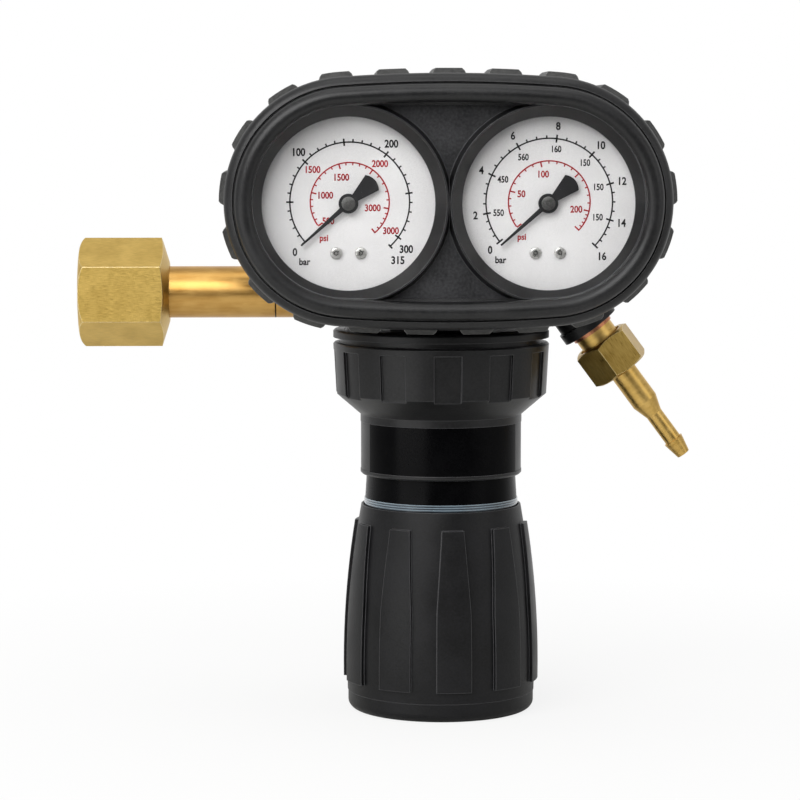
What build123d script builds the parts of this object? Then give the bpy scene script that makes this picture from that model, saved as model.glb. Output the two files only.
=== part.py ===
from build123d import *
import math
import os

os.makedirs("parts", exist_ok=True)

# Gas-cylinder pressure regulator with two gauges behind one rubber bumper.
# Frame: origin on the inlet axis where the thread in the nut's mouth starts, +X
# along the inlet axis into the body, +Z up, and -Y towards the dials. Millimetres.

# Clearances
running = 0.08          # radial gap of a shaft or nut that turns
easy = 0.15             # radial gap of a piece that slides or drops in
soft_gap = 0.3          # gap beside a moulded piece on another body
face_gap = 0.05         # gap between flat faces on different bodies

# Inlet nut and nipple, along +X from the start of the nut's thread
inlet_thread_radius = 10.4
inlet_thread_length = 10.5
inlet_shoulder = 16.2
relief_radius = inlet_thread_radius + 0.6
nut_flats = 32.0
nut_length = 30.4
nut_dome = 1.9
nut_mouth_radius = nut_flats / 2 - 1.4
nut_rear_taper = 2.6
mouth_chamfer = 0.5
nipple_tip = 11.3
nipple_tip_radius = inlet_thread_radius - 2.6
nipple_collar_radius = inlet_thread_radius - soft_gap
nipple_collar_length = 3.0
nipple_radius = nipple_collar_radius - 1.35
nipple_joint = 65.7
nipple_spigot_radius = nipple_radius - 2.25
nipple_spigot_length = 12.0
gas_bore_radius = 2.2
filter_radius = 3.6
filter_length = 12.0
seal_inner_radius = 4.8
seal_outer_radius = nipple_tip_radius - 1.0
seal_thickness = 1.6
seal_stand_out = 0.6

# Body: the bowl's radius sets the bonnet's ring, the barrel's radius sets the depths
axis_x = nipple_joint + 56.7
bowl_radius = 33.0
bowl_drop = 6.3
bowl_cavity_radius = bowl_radius - 7.0
bowl_cavity_depth = 5.0
body_shoulder = -12.2
barrel_radius = 17.5
barrel_top = 14.0
bar_radius = nipple_radius + 1.75
bar_start = nipple_joint + 16.5
chamber_radius = 7.0
chamber_bottom = -7.0
stem_passage_radius = 4.0
low_bore_radius = 2.5
ear_radius = 9.0
ear_back = 8.0
port_depth = 10.0
port_bore_radius = 1.6

# Bonnet and the rings on it, with heights down the axis
collar_top = -12.7
collar_thickness = 2.7
collar_radius = bowl_radius + 3.9
groove_height = 1.8
groove_radius = collar_radius - 2.5
ring_height = 17.3
ring_bottom_radius = collar_radius - 0.9
pocket_count = 12
pocket_drop = 2.4
pocket_depth = 1.0
pocket_angle = 14.5
pocket_phase = 1.0
cone_height = 7.2
sleeve_radius = 27.6
sleeve_height = 20.5
sleeve_lip = 1.6
label_depth = 0.6
label_thickness = 0.45
label_top_band = 2.6
neck_radius = sleeve_radius - 3.2
neck_drop = 13.2
neck_lower_radius = neck_radius - 2.8
bonnet_wall = 3.8
bonnet_floor = 6.0
gas_ring_height = 8.2
gas_ring_top_radius = neck_radius + 1.1
gas_ring_bottom_radius = gas_ring_top_radius + 0.5
clear_ring_height = 2.4
clear_ring_radius = gas_ring_bottom_radius + 0.35
clear_ring_line = 0.16

# Valve, diaphragm and spring
seat_height = 3.0
seat_orifice_radius = 2.4
poppet_radius = 4.6
poppet_height = 6.5
poppet_stem_radius = 2.0
poppet_stem_length = 7.0
cap_plug_length = 5.0
cap_flats = 24.0
cap_height = 7.0
return_wire = 0.45
return_turns = 2.5
diaphragm_thickness = 1.2
diaphragm_dish = 2.0
diaphragm_flat_radius = bowl_radius - 12.0
slip_washer_thickness = 0.8
clamp_width = 4.5
plate_radius = diaphragm_flat_radius - 1.0
plate_thickness = 3.0
stud_radius = 3.0
stud_nut_flats = 12.0
stud_nut_height = 2.4
pin_radius = 1.4
button_thickness = 3.8
button_lift = 7.35
main_spring_wire = 2.0
main_spring_turns = 5.5
screw_radius = 5.95
bush_radius = 9.0
bush_lip = 1.6
bush_lip_height = 1.4
thread_pitch = 1.5
knob_turns = 6

# Knob
knob_length = 64.2
knob_top_radius = clear_ring_radius + 1.0
knob_middle_radius = knob_top_radius + 4.05
knob_middle_drop = knob_length * 0.511
knob_bottom_radius = knob_middle_radius + 0.7
knob_wall = 2.6
skirt_depth = 11.0
hub_radius = 9.0
web_count = 5
web_thickness = 2.2
web_drop = 29.0
rib_count = 10
rib_phase = 5.3
rib_height = 1.3
rib_drop = 5.9
rib_flare_drop = knob_middle_drop + 0.8
rib_length = knob_length - rib_drop - 4.1
rib_top_angle = 7.3
rib_angle = 10.3
cap_thickness = 6.4
cap_flat_radius = knob_bottom_radius - 3.1
cap_side_height = 3.4
cap_spigot = 3.0
cap_spigot_wall = 2.0

# Gauges: the case's radius sets the panel, the bumper and the works
case_radius = 30.1
case_wall = 0.8
case_depth = 26.6
case_back_wall = 1.0
window_radius = case_radius - 0.1
window_thickness = 1.8
window_lip_radius = window_radius - 2.0
dial_radius = case_radius - case_wall - 0.3
dial_thickness = 0.6
dial_hole_radius = 1.7
pointer_thickness = 0.5
pointer_hub_radius = 3.2
pointer_hub_height = 1.5
pointer_length = dial_radius - 8.5
pointer_root_width = 1.7
pointer_tip_width = 0.6
tail_length = 10.2
tail_neck_width = 2.6
tail_width = 6.6
zero_angle = 221.5
pointer_sweep = 270.0
gauge_side = case_radius + 2.3
gauge_drop = 0.6

# Gauge panel
panel_thickness = 2.6
dial_ring_lip = window_radius + 1.5
dial_ring_crest = dial_ring_lip + 0.9
dial_ring_foot = dial_ring_crest + 0.9
dial_ring_height = 4.1
panel_collar_radius = window_radius + 2.2
panel_collar_depth = 5.4
recess_end_radius = window_radius + 1.0
recess_half_height = recess_end_radius + 0.15
slot_depth = 3.0

# Bumper outline: two end circles joined by gently arched sides
bumper_end_radius = recess_end_radius + 9.2
bumper_half_height = bumper_end_radius + 1.2
bumper_foot = 9.5
gauge_height = bumper_half_height - gauge_drop - bumper_foot
shoulder_width = 2.7
rim_width = 6.0
rim_straight = 2.0
inner_slope_width = 2.2
ring_inner_offset = 14.0
tread_count = 21
tread_height = 1.7
tread_base = 12.0
tread_top = 10.2
tread_corner = 0.9
tread_slope = 3.6
cavity_gap = 0.25
cavity_rise = 0.3
rear_end_radius = case_radius - 3.5
rear_half_height = rear_end_radius + 0.3

# Depths to the front, counted from the body axis
bumper_back = barrel_radius + 3.0
ear_front = bumper_back - 7.0
case_back = bumper_back + 3.5
case_front = case_back + case_depth
window_front = case_front + window_thickness
dial_front = case_front - 3.0
pointer_front = dial_front + 2.0
panel_face = window_front + 1.6
bumper_front = panel_face + 8.0
shoulder_start = bumper_front - 9.0
shoulder_top = bumper_front - 4.6
tread_front = bumper_front - 7.4
tread_back = bumper_back + 3.1

# Gauge works
socket_drop = case_radius - 11.1
socket_width = 11.0
socket_thread_radius = 4.9
socket_hex_flats = 14.0
socket_hex_length = 6.0
socket_neck_radius = 5.5
socket_block_front = case_back + 11.0
tube_radius = case_radius - 8.1
tube_half_width = 3.8
tube_half_thickness = 1.2
tube_middle = socket_block_front - 4.7
tube_tip_angle = -16.0
lug_front = socket_block_front + 1.2
frame_plate = 1.0
frame_gap = 5.0
frame_width = 12.5
gear_module = case_radius / 100
pinion_teeth = 10
sector_full_teeth = 80
pressure_angle = 25.0
gear_backlash = 0.12
gear_thickness = 1.0
sector_level = socket_block_front + 3.6
sector_margin_teeth = 2
sector_hub_radius = 2.4
arbor_radius = 0.9
tail_arm_length = case_radius * 0.266
tail_arm_angle = -17.0
link_level = socket_block_front + 1.9
link_thickness = 0.8
link_width = 2.4
link_pin_radius = 0.6
pillar_radius = 1.2
pillar_side = 4.4
pillar_drop = socket_drop + 1.8
top_pillar_height = 4.2
dial_post_half_spacing = 4.0
dial_post_drop = socket_drop - 2.9
dial_post_radius = 1.5

# Outlet, along its own axis from the union nut's upper face
outlet_reach = bowl_radius + 9.1
outlet_tilt = 36.5
outlet_nut_flats = 19.0
outlet_nut_length = 13.0
outlet_nut_chamfer = 1.1
outlet_nut_rest_angle = 15.0
adapter_thread_radius = outlet_nut_flats / 2 - 1.55
adapter_neck_length = 4.0
adapter_neck_radius = adapter_thread_radius - 1.05
adapter_thread_end = 6.0
adapter_spigot_radius = adapter_neck_radius - 0.9
adapter_spigot_length = 9.0
adapter_bore_radius = 3.2
cone_mouth_radius = adapter_thread_radius - 2.15
cone_depth = 3.4
boss_length = 11.8
boss_radius = adapter_spigot_radius + 3.5
outlet_collar_length = 3.5
outlet_collar_radius = boss_radius + 0.8
copper_length = 1.5
copper_radius = adapter_neck_radius + 0.6
tail_collar_radius = adapter_thread_radius - 0.45
tail_collar_length = 2.0
shank_radius = tail_collar_radius - 2.9
shank_end = 26.2
taper_end = shank_end + 5.4
stem_radius = shank_radius - 1.7
stem_end = taper_end + 11.3
barb_radius = stem_radius + 0.6
barb_tip_radius = barb_radius - 1.2
barb_end = stem_end + 6.0
tail_bore_radius = 1.6

# Derived heights on the bonnet axis
collar_bottom = collar_top - collar_thickness
ring_top = collar_bottom - groove_height
ring_bottom = ring_top - ring_height
cone_bottom = ring_bottom - cone_height
sleeve_bottom = cone_bottom - sleeve_height
gas_ring_bottom = sleeve_bottom - gas_ring_height
knob_top = gas_ring_bottom - clear_ring_height
knob_bottom = knob_top - knob_length
bowl_face = collar_top - bowl_drop
diaphragm_edge_bottom = bowl_face - diaphragm_thickness
clamp_face = diaphragm_edge_bottom - slip_washer_thickness
diaphragm_centre_top = bowl_face - diaphragm_dish
diaphragm_centre_bottom = diaphragm_centre_top - diaphragm_thickness
plate_top = diaphragm_centre_bottom - face_gap
plate_bottom = plate_top - plate_thickness
neck_bottom = knob_top - neck_drop
bush_top = neck_bottom + bonnet_floor + bush_lip_height
button_bottom = bush_top + button_lift
button_top = button_bottom + button_thickness
seat_top = chamber_bottom + seat_height
poppet_bottom = seat_top + face_gap
poppet_top = poppet_bottom + poppet_height
pin_bottom = bowl_face + 2.0

# Derived radii inside the bonnet
cavity_radius = neck_lower_radius - bonnet_wall
button_radius = cavity_radius - 0.8
main_spring_radius = button_radius - 4.0

# Derived places of the gauges
port_lift = gauge_height - socket_drop
sector_pivot_drop = gear_module * (pinion_teeth + sector_full_teeth) / 2
gear_ratio = sector_full_teeth / pinion_teeth
sector_travel = pointer_sweep / gear_ratio
frame_back = socket_block_front
frame_front = frame_back + frame_plate + frame_gap
cavity_end_radius = panel_collar_radius + gauge_drop + cavity_gap
cavity_half_height = cavity_end_radius + cavity_rise

bumper_plane = Plane(
    origin=(axis_x, 0, gauge_height + gauge_drop),
    x_dir=(1, 0, 0),
    z_dir=(0, -1, 0),
)
inlet_plane = Plane(origin=(0, 0, 0), x_dir=(0, -1, 0), z_dir=(1, 0, 0))
tilt = math.radians(outlet_tilt)
outlet_direction = (math.sin(tilt), 0, -math.cos(tilt))
nut_offset = boss_length + outlet_collar_length + copper_length + adapter_neck_length
elbow_x = axis_x + outlet_reach
nut_origin = (
    elbow_x + nut_offset * outlet_direction[0],
    0,
    nut_offset * outlet_direction[2],
)
outlet_plane = Plane(origin=nut_origin, x_dir=(0, -1, 0), z_dir=outlet_direction)
on_axis = Pos(axis_x, 0, 0)


def turned(points, arc=360.0):
    """Solid of revolution about Z from a closed list of (radius, height) points."""
    face = Plane.XZ * make_face(Polyline(*points, close=True))
    return revolve(face, axis=Axis.Z, revolution_arc=arc)


def ring(inner, outer, bottom, top):
    """Plain ring about Z."""
    return turned([(inner, bottom), (outer, bottom), (outer, top), (inner, top)])


def rod(radius, bottom, top, x=0.0, y=0.0):
    """Cylinder along Z from bottom to top."""
    return Pos(x, y, (bottom + top) / 2) * Cylinder(radius, top - bottom)


def hexagon(flats, bottom, top, turn=0.0):
    """Hexagonal prism along Z."""
    outline = RegularPolygon(flats / 2, 6, major_radius=False, rotation=turn)
    return Pos(0, 0, bottom) * extrude(outline, amount=top - bottom)


def chamfered_hexagon(flats, bottom, top, chamfer_size, turn=0.0):
    """Hexagonal prism with its corners turned off at both ends."""
    corner = flats / math.sqrt(3) + 0.05
    face_radius = flats / 2 * 0.96
    blank = turned([
        (0, bottom),
        (face_radius, bottom),
        (corner, bottom + chamfer_size),
        (corner, top - chamfer_size),
        (face_radius, top),
        (0, top),
    ])
    return hexagon(flats, bottom, top, turn) & blank


def racetrack(end_radius, half_height):
    """Outline face of two end circles joined by arched sides, in the local XY plane."""
    side_radius, side_centre, lean = side_arc(end_radius, half_height)
    sweep_end = 180 - 2 * lean
    edges = [
        CenterArc((gauge_side, 0), end_radius, lean - 90, sweep_end),
        CenterArc((0, -side_centre), side_radius, 90 - lean, 2 * lean),
        CenterArc((-gauge_side, 0), end_radius, 90 + lean, sweep_end),
        CenterArc((0, side_centre), side_radius, 270 - lean, 2 * lean),
    ]
    return make_face(edges)


def side_arc(end_radius, half_height):
    """Radius, centre distance and half angle in degrees of an arched side."""
    rise = half_height - end_radius
    side_radius = (gauge_side ** 2 + half_height ** 2 - end_radius ** 2) / (2 * rise)
    side_centre = side_radius - half_height
    lean = math.degrees(math.atan2(gauge_side, side_centre))
    return side_radius, side_centre, lean


def slab(end_radius, half_height, back, front):
    """Racetrack plate between two depths."""
    return Pos(0, 0, back) * extrude(racetrack(end_radius, half_height), amount=front - back)


def racetrack_ring(section):
    """Ring along the bumper outline; section(radius) gives the face for one arc."""
    side_radius, side_centre, lean = side_arc(bumper_end_radius, bumper_half_height)
    end_sweep = 180 - 2 * lean
    arcs = [
        (gauge_side, 0, bumper_end_radius, lean - 90, end_sweep),
        (0, -side_centre, side_radius, 90 - lean, 2 * lean),
        (-gauge_side, 0, bumper_end_radius, 90 + lean, end_sweep),
        (0, side_centre, side_radius, 270 - lean, 2 * lean),
    ]
    pieces = []
    for x, y, radius, start, angle in arcs:
        solid = revolve(Plane.XZ * section(radius), axis=Axis.Z, revolution_arc=angle)
        pieces.append(Pos(x, y, 0) * Rot(0, 0, start) * solid)
    return pieces[0] + pieces[1:]


def outline_place(distance):
    """Point and outward angle on the bumper outline, clockwise from its top middle."""
    side_radius, side_centre, lean = side_arc(bumper_end_radius, bumper_half_height)
    half_side = side_radius * math.radians(lean)
    end_length = bumper_end_radius * math.radians(180 - 2 * lean)
    total = 4 * half_side + 2 * end_length
    along = distance * total
    if along > total - half_side:
        along -= total
    if along <= half_side:
        angle, centre, radius = 90 - math.degrees(along / side_radius), (0, -side_centre), side_radius
    elif along <= half_side + end_length:
        turned_by = math.degrees((along - half_side) / bumper_end_radius)
        angle, centre, radius = 90 - lean - turned_by, (gauge_side, 0), bumper_end_radius
    elif along <= 3 * half_side + end_length:
        turned_by = math.degrees((along - half_side - end_length) / side_radius)
        angle, centre, radius = lean - 90 - turned_by, (0, side_centre), side_radius
    else:
        turned_by = math.degrees((along - 3 * half_side - end_length) / bumper_end_radius)
        angle, centre, radius = -90 - lean - turned_by, (-gauge_side, 0), bumper_end_radius
    x = centre[0] + radius * math.cos(math.radians(angle))
    y = centre[1] + radius * math.sin(math.radians(angle))
    return x, y, angle


def spring(radius, wire, bottom, top, turns):
    """Coil spring with ends ground flat between two heights."""
    pitch = (top - bottom) / turns
    path = Pos(0, 0, bottom) * Helix(pitch, top - bottom, radius)
    start = Plane(origin=path @ 0, z_dir=path % 0)
    coil = sweep(start * Circle(wire), path=path)
    keep = ring(radius - 2 * wire, radius + 2 * wire, bottom, top)
    return coil & keep


def inlet_nut():
    """Union nut with rounded ends; it spins on the nipple behind its collar."""
    corner = nut_flats / math.sqrt(3) + 0.05
    dome_bulge = 0.66
    dome = ThreePointArc(
        (nut_mouth_radius, 0),
        (nut_mouth_radius + (corner - nut_mouth_radius) * dome_bulge, nut_dome * 0.42),
        (corner, nut_dome),
    )
    rest = Polyline(
        (corner, nut_dome),
        (corner, nut_length - nut_rear_taper),
        (nipple_radius + 1.5, nut_length),
        (0, nut_length),
        (0, 0),
        (nut_mouth_radius, 0),
    )
    blank = revolve(Plane.XZ * make_face([dome, rest]), axis=Axis.Z)
    bore = turned([
        (0, 0),
        (inlet_thread_radius + mouth_chamfer, 0),
        (inlet_thread_radius, mouth_chamfer),
        (inlet_thread_radius, mouth_chamfer + inlet_thread_length),
        (relief_radius, mouth_chamfer + inlet_thread_length),
        (relief_radius, mouth_chamfer + inlet_shoulder),
        (nipple_radius + running, mouth_chamfer + inlet_shoulder),
        (nipple_radius + running, nut_length),
        (0, nut_length),
    ])
    nut = (hexagon(nut_flats, 0, nut_length, 30) & blank) - bore
    return inlet_plane * Pos(0, 0, -mouth_chamfer) * nut


def inlet_nipple():
    """Turned tube: sealing tip, collar that the nut pulls on, stem and body spigot."""
    collar_end = inlet_shoulder - face_gap
    outside = turned([
        (0, nipple_tip),
        (nipple_tip_radius - 0.8, nipple_tip),
        (nipple_tip_radius, nipple_tip + 0.8),
        (nipple_tip_radius, collar_end - nipple_collar_length),
        (nipple_collar_radius, collar_end - nipple_collar_length),
        (nipple_collar_radius, collar_end),
        (nipple_radius, collar_end),
        (nipple_radius, nipple_joint),
        (nipple_spigot_radius, nipple_joint),
        (nipple_spigot_radius, nipple_joint + nipple_spigot_length),
        (0, nipple_joint + nipple_spigot_length),
    ])
    bore = rod(gas_bore_radius, nipple_tip, nipple_joint + nipple_spigot_length)
    filter_seat = rod(filter_radius, nipple_tip, nipple_tip + filter_length)
    groove_depth = seal_thickness - seal_stand_out
    groove = ring(seal_inner_radius, seal_outer_radius, nipple_tip, nipple_tip + groove_depth)
    return inlet_plane * (outside - bore - filter_seat - groove)


def inlet_seal():
    """Flat seal ring pressed in the nipple's tip."""
    start = nipple_tip - seal_stand_out
    return inlet_plane * ring(seal_inner_radius, seal_outer_radius, start, start + seal_thickness)


def inlet_filter():
    """Sintered thimble that fills the nipple's counterbore, hollow from the body side."""
    end = nipple_tip + filter_length
    outside = rod(filter_radius, nipple_tip + 0.5, end)
    hollow = rod(gas_bore_radius, nipple_tip + 3.0, end)
    return inlet_plane * (outside - hollow)


def regulator_body():
    """Forged body: bowl, barrel, cross bar with two gauge ears and the outlet boss."""
    bowl = turned([
        (0, bowl_face),
        (bowl_radius, bowl_face),
        (bowl_radius, body_shoulder - 0.8),
        (bowl_radius - 0.8, body_shoulder),
        (barrel_radius, body_shoulder),
        (barrel_radius, barrel_top - 1.0),
        (barrel_radius - 1.0, barrel_top),
        (0, barrel_top),
    ])
    stub = inlet_plane * rod(nipple_radius, nipple_joint, bar_start + 4.0)
    bar = inlet_plane * turned([
        (0, bar_start),
        (nipple_radius, bar_start),
        (bar_radius, bar_start + 2.0),
        (bar_radius, elbow_x),
        (0, elbow_x),
    ])
    elbow = Pos(elbow_x, 0, 0) * Sphere(bar_radius)
    boss_start = -nut_offset
    boss = outlet_plane * rod(boss_radius, boss_start, boss_start + boss_length)
    solid = on_axis * bowl + stub + bar + elbow + boss
    for side in (-1, 1):
        solid = solid + gauge_ear(side)
    return solid - body_hollows()


def gauge_ear(side):
    """Upright lug on the cross bar that carries one gauge socket."""
    outline = SlotCenterToCenter(port_lift, 2 * ear_radius, rotation=90)
    ear = extrude(Pos(0, port_lift / 2) * outline, amount=ear_front + ear_back)
    place = Plane(
        origin=(axis_x + side * gauge_side, ear_back, 0),
        x_dir=(1, 0, 0),
        z_dir=(0, -1, 0),
    )
    return place * ear


def body_hollows():
    """Gas ways, valve chamber, low-pressure bowl and threaded ports of the body."""
    high_x = axis_x - gauge_side
    low_x = axis_x + gauge_side
    low_way_x = axis_x + (chamber_radius + barrel_radius) / 2
    spigot_end = nipple_joint + nipple_spigot_length
    chamber = rod(chamber_radius, chamber_bottom, barrel_top)
    passage = rod(stem_passage_radius, bowl_face, chamber_bottom)
    bowl = rod(bowl_cavity_radius, bowl_face, bowl_face + bowl_cavity_depth)
    cuts = [
        on_axis * chamber,
        on_axis * passage,
        on_axis * bowl,
        inlet_plane * rod(nipple_spigot_radius, nipple_joint, spigot_end),
        inlet_plane * rod(gas_bore_radius, spigot_end, axis_x),
        inlet_plane * rod(low_bore_radius, low_way_x, elbow_x),
        rod(low_bore_radius, bowl_face, 0, low_way_x),
        rod(port_bore_radius, 0, port_lift, high_x),
        rod(port_bore_radius, 0, port_lift, low_x),
        outlet_plane * rod(adapter_spigot_radius, spigot_start(), boss_end()),
        outlet_plane * rod(low_bore_radius, -nut_offset, spigot_start()),
    ]
    for x in (high_x, low_x):
        port_plane = Plane(origin=(x, 0, port_lift), x_dir=(1, 0, 0), z_dir=(0, -1, 0))
        cuts.append(port_plane * rod(socket_thread_radius, ear_front - port_depth, ear_front))
        cuts.append(port_plane * rod(port_bore_radius, 0, ear_front - port_depth))
    return cuts


def boss_end():
    """Station of the boss face on the outlet axis."""
    return -nut_offset + boss_length


def spigot_start():
    """Station of the adapter's inner end on the outlet axis."""
    return boss_end() - adapter_spigot_length


def body_collar():
    """Black collar ring seated on the bonnet round the bowl."""
    inner = bowl_radius + easy
    edge = 0.6
    profile = [
        (inner, collar_bottom),
        (collar_radius, collar_bottom),
        (collar_radius, collar_top - edge),
        (collar_radius - edge, collar_top),
        (inner, collar_top),
    ]
    return on_axis * turned(profile)


def bonnet():
    """Cast bonnet: pocketed ring, cone, sleeve and the neck inside the knob."""
    outside = turned([
        (0, collar_bottom),
        (groove_radius, collar_bottom),
        (groove_radius, ring_top),
        (collar_radius - 0.4, ring_top),
        (collar_radius, ring_top - 0.5),
        (ring_bottom_radius, ring_bottom),
        (sleeve_radius, cone_bottom),
        (sleeve_radius, label_top()),
        (sleeve_radius - label_depth, label_top()),
        (sleeve_radius - label_depth, label_bottom()),
        (sleeve_radius, label_bottom()),
        (sleeve_radius, sleeve_bottom + 0.6),
        (sleeve_radius - 0.6, sleeve_bottom),
        (neck_radius, sleeve_bottom),
        (neck_radius, knob_top),
        (neck_lower_radius, knob_top),
        (neck_lower_radius, neck_bottom),
        (0, neck_bottom),
    ])
    thread_bore = bowl_radius + easy
    shoulder_radius = thread_bore - clamp_width
    hollow = turned([
        (0, collar_bottom),
        (thread_bore, collar_bottom),
        (thread_bore, clamp_face),
        (shoulder_radius, clamp_face),
        (shoulder_radius, ring_bottom + 2.0),
        (cavity_radius, cone_bottom - 2.0),
        (cavity_radius, neck_bottom + bonnet_floor),
        (bush_radius, neck_bottom + bonnet_floor),
        (bush_radius, neck_bottom),
        (0, neck_bottom),
    ])
    solid = outside - hollow
    pocket_bottom_radius = ring_bottom_radius - pocket_depth
    pocket = turned([
        (collar_radius - pocket_depth, ring_top - pocket_drop),
        (collar_radius + 1.0, ring_top - pocket_drop),
        (collar_radius + 1.0, ring_bottom - 1.0),
        (pocket_bottom_radius, ring_bottom - 1.0),
        (pocket_bottom_radius, ring_bottom),
    ], arc=pocket_angle)
    pockets = []
    for i in range(pocket_count):
        start = -90 + pocket_phase - pocket_angle / 2 + i * 360 / pocket_count
        pockets.append(Rot(0, 0, start) * pocket)
    return on_axis * (solid - pockets)


def label_top():
    """Upper edge of the label recess on the sleeve."""
    return cone_bottom - label_top_band


def label_bottom():
    """Lower edge of the label recess on the sleeve."""
    return sleeve_bottom + sleeve_lip


def label_band():
    """Bare band laid in the sleeve's recess."""
    inner = sleeve_radius - label_depth
    return on_axis * ring(inner, inner + label_thickness, label_bottom(), label_top())


def gas_ring():
    """Slightly conical ring pushed onto the bonnet's neck."""
    profile = [
        (neck_radius, gas_ring_bottom),
        (gas_ring_bottom_radius, gas_ring_bottom),
        (gas_ring_top_radius, sleeve_bottom),
        (neck_radius, sleeve_bottom),
    ]
    return on_axis * turned(profile)


def clear_ring():
    """Translucent ring with three fine steps down its rim."""
    step = clear_ring_height / 3
    points = [(neck_radius, gas_ring_bottom)]
    for i in range(3):
        top = gas_ring_bottom - i * step
        points.append((clear_ring_radius - clear_ring_line, top))
        points.append((clear_ring_radius, top - clear_ring_line))
        points.append((clear_ring_radius, top - step + clear_ring_line))
        points.append((clear_ring_radius - clear_ring_line, top - step))
    points.append((neck_radius, knob_top))
    cleaned = [points[0]]
    for point in points[1:]:
        if math.dist(point, cleaned[-1]) > 1e-6:
            cleaned.append(point)
    return on_axis * turned(cleaned)


def screw_bush():
    """Threaded brass bush set in the bonnet's floor."""
    profile = [
        (screw_radius + running, neck_bottom),
        (bush_radius, neck_bottom),
        (bush_radius, neck_bottom + bonnet_floor),
        (bush_radius + bush_lip, neck_bottom + bonnet_floor),
        (bush_radius + bush_lip, bush_top),
        (screw_radius + running, bush_top),
    ]
    return on_axis * turned(profile)


def valve_seat():
    """Nozzle disc pressed in the bottom of the valve chamber."""
    return on_axis * ring(seat_orifice_radius, chamber_radius, chamber_bottom, seat_top)


def valve_cap():
    """Hexagon plug that closes the chamber and guides the poppet's stem."""
    guide = poppet_stem_radius + running
    plug = rod(chamber_radius - 0.02, barrel_top - cap_plug_length, barrel_top)
    head = chamfered_hexagon(cap_flats, barrel_top, barrel_top + cap_height, 1.2)
    bore = rod(guide, barrel_top - cap_plug_length, barrel_top + cap_height - 3.0)
    return on_axis * (plug + head - bore)


def poppet():
    """Valve poppet with its guide stem."""
    shape = turned([
        (0, poppet_bottom),
        (poppet_radius, poppet_bottom),
        (poppet_radius, poppet_top - 1.0),
        (poppet_radius - 1.0, poppet_top),
        (poppet_stem_radius, poppet_top),
        (poppet_stem_radius, poppet_top + poppet_stem_length),
        (0, poppet_top + poppet_stem_length),
    ])
    return on_axis * shape


def return_spring():
    """Small spring between the poppet and the valve cap."""
    radius = poppet_stem_radius + return_wire + 0.35
    top = barrel_top - cap_plug_length
    return on_axis * spring(radius, return_wire, poppet_top + face_gap, top, return_turns)


def diaphragm():
    """Rubber diaphragm: clamped edge, sloping roll and flat middle round the stud."""
    edge_inner = bowl_radius + easy - clamp_width - 1.0
    shape = turned([
        (stud_radius + running, diaphragm_centre_top),
        (stud_radius + running, diaphragm_centre_bottom),
        (diaphragm_flat_radius, diaphragm_centre_bottom),
        (edge_inner, diaphragm_edge_bottom),
        (bowl_radius, diaphragm_edge_bottom),
        (bowl_radius, bowl_face),
        (edge_inner, bowl_face),
        (diaphragm_flat_radius, diaphragm_centre_top),
    ])
    return on_axis * shape


def slip_washer():
    """Thin washer between the diaphragm's edge and the bonnet."""
    inner = bowl_radius + easy - clamp_width
    return on_axis * ring(inner, bowl_radius, clamp_face, diaphragm_edge_bottom)


def diaphragm_plate():
    """Light-alloy plate that the spring pushes on, with a stud through the diaphragm."""
    shape = turned([
        (0, plate_bottom + 1.0),
        (main_spring_radius - main_spring_wire - 1.4, plate_bottom + 1.0),
        (main_spring_radius - main_spring_wire - 1.0, plate_bottom),
        (plate_radius - 0.5, plate_bottom),
        (plate_radius, plate_bottom + 0.5),
        (plate_radius, plate_top),
        (stud_radius, plate_top),
        (stud_radius, pin_bottom),
        (0, pin_bottom),
    ])
    return on_axis * shape


def stud_nut():
    """Thin nut and washer in one that clamps the diaphragm to its plate."""
    bottom = diaphragm_centre_top + face_gap
    top = bottom + stud_nut_height
    flange = rod(stud_nut_flats / 2 + 3.0, bottom, bottom + 0.8)
    nut = hexagon(stud_nut_flats, bottom, top)
    bore = rod(stud_radius, bottom, top)
    return on_axis * (flange + nut - bore)


def push_pin():
    """Pin that carries the plate's lift to the poppet."""
    return on_axis * rod(pin_radius, pin_bottom, poppet_bottom)


def main_spring():
    """Range spring between the diaphragm plate and the spring button."""
    bottom = button_top + face_gap
    top = plate_bottom - face_gap
    return on_axis * spring(main_spring_radius, main_spring_wire, bottom, top, main_spring_turns)


def spring_button():
    """Dished button under the main spring, pushed by the adjusting screw."""
    centre_radius = main_spring_radius - main_spring_wire - 0.8
    shape = turned([
        (0, button_bottom),
        (button_radius - 1.0, button_bottom),
        (button_radius, button_bottom + 1.0),
        (button_radius, button_top),
        (centre_radius, button_top),
        (centre_radius - 1.0, button_top + 2.2),
        (0, button_top + 2.2),
    ])
    return on_axis * shape


def adjusting_screw():
    """Screw fixed in the knob's hub; it runs in the bush and lifts the button."""
    top = button_bottom - face_gap
    bottom = knob_bottom + 6.0
    shape = turned([
        (0, bottom),
        (screw_radius, bottom),
        (screw_radius, top - 1.0),
        (screw_radius - 1.0, top),
        (0, top),
    ])
    return on_axis * shape


def knob_arc(offset):
    """Side line of the knob, moved out by offset, as an arc of (radius, height)."""
    return ThreePointArc(
        (knob_top_radius + offset, knob_top),
        (knob_middle_radius + offset, knob_top - knob_middle_drop),
        (knob_bottom_radius + offset, knob_bottom),
    )


def knob_solid(offset):
    """Solid inside the knob's side line."""
    side = knob_arc(offset)
    rest = Polyline(
        (knob_bottom_radius + offset, knob_bottom),
        (0, knob_bottom),
        (0, knob_top),
        (knob_top_radius + offset, knob_top),
    )
    return revolve(Plane.XZ * make_face([side, rest]), axis=Axis.Z)


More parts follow.
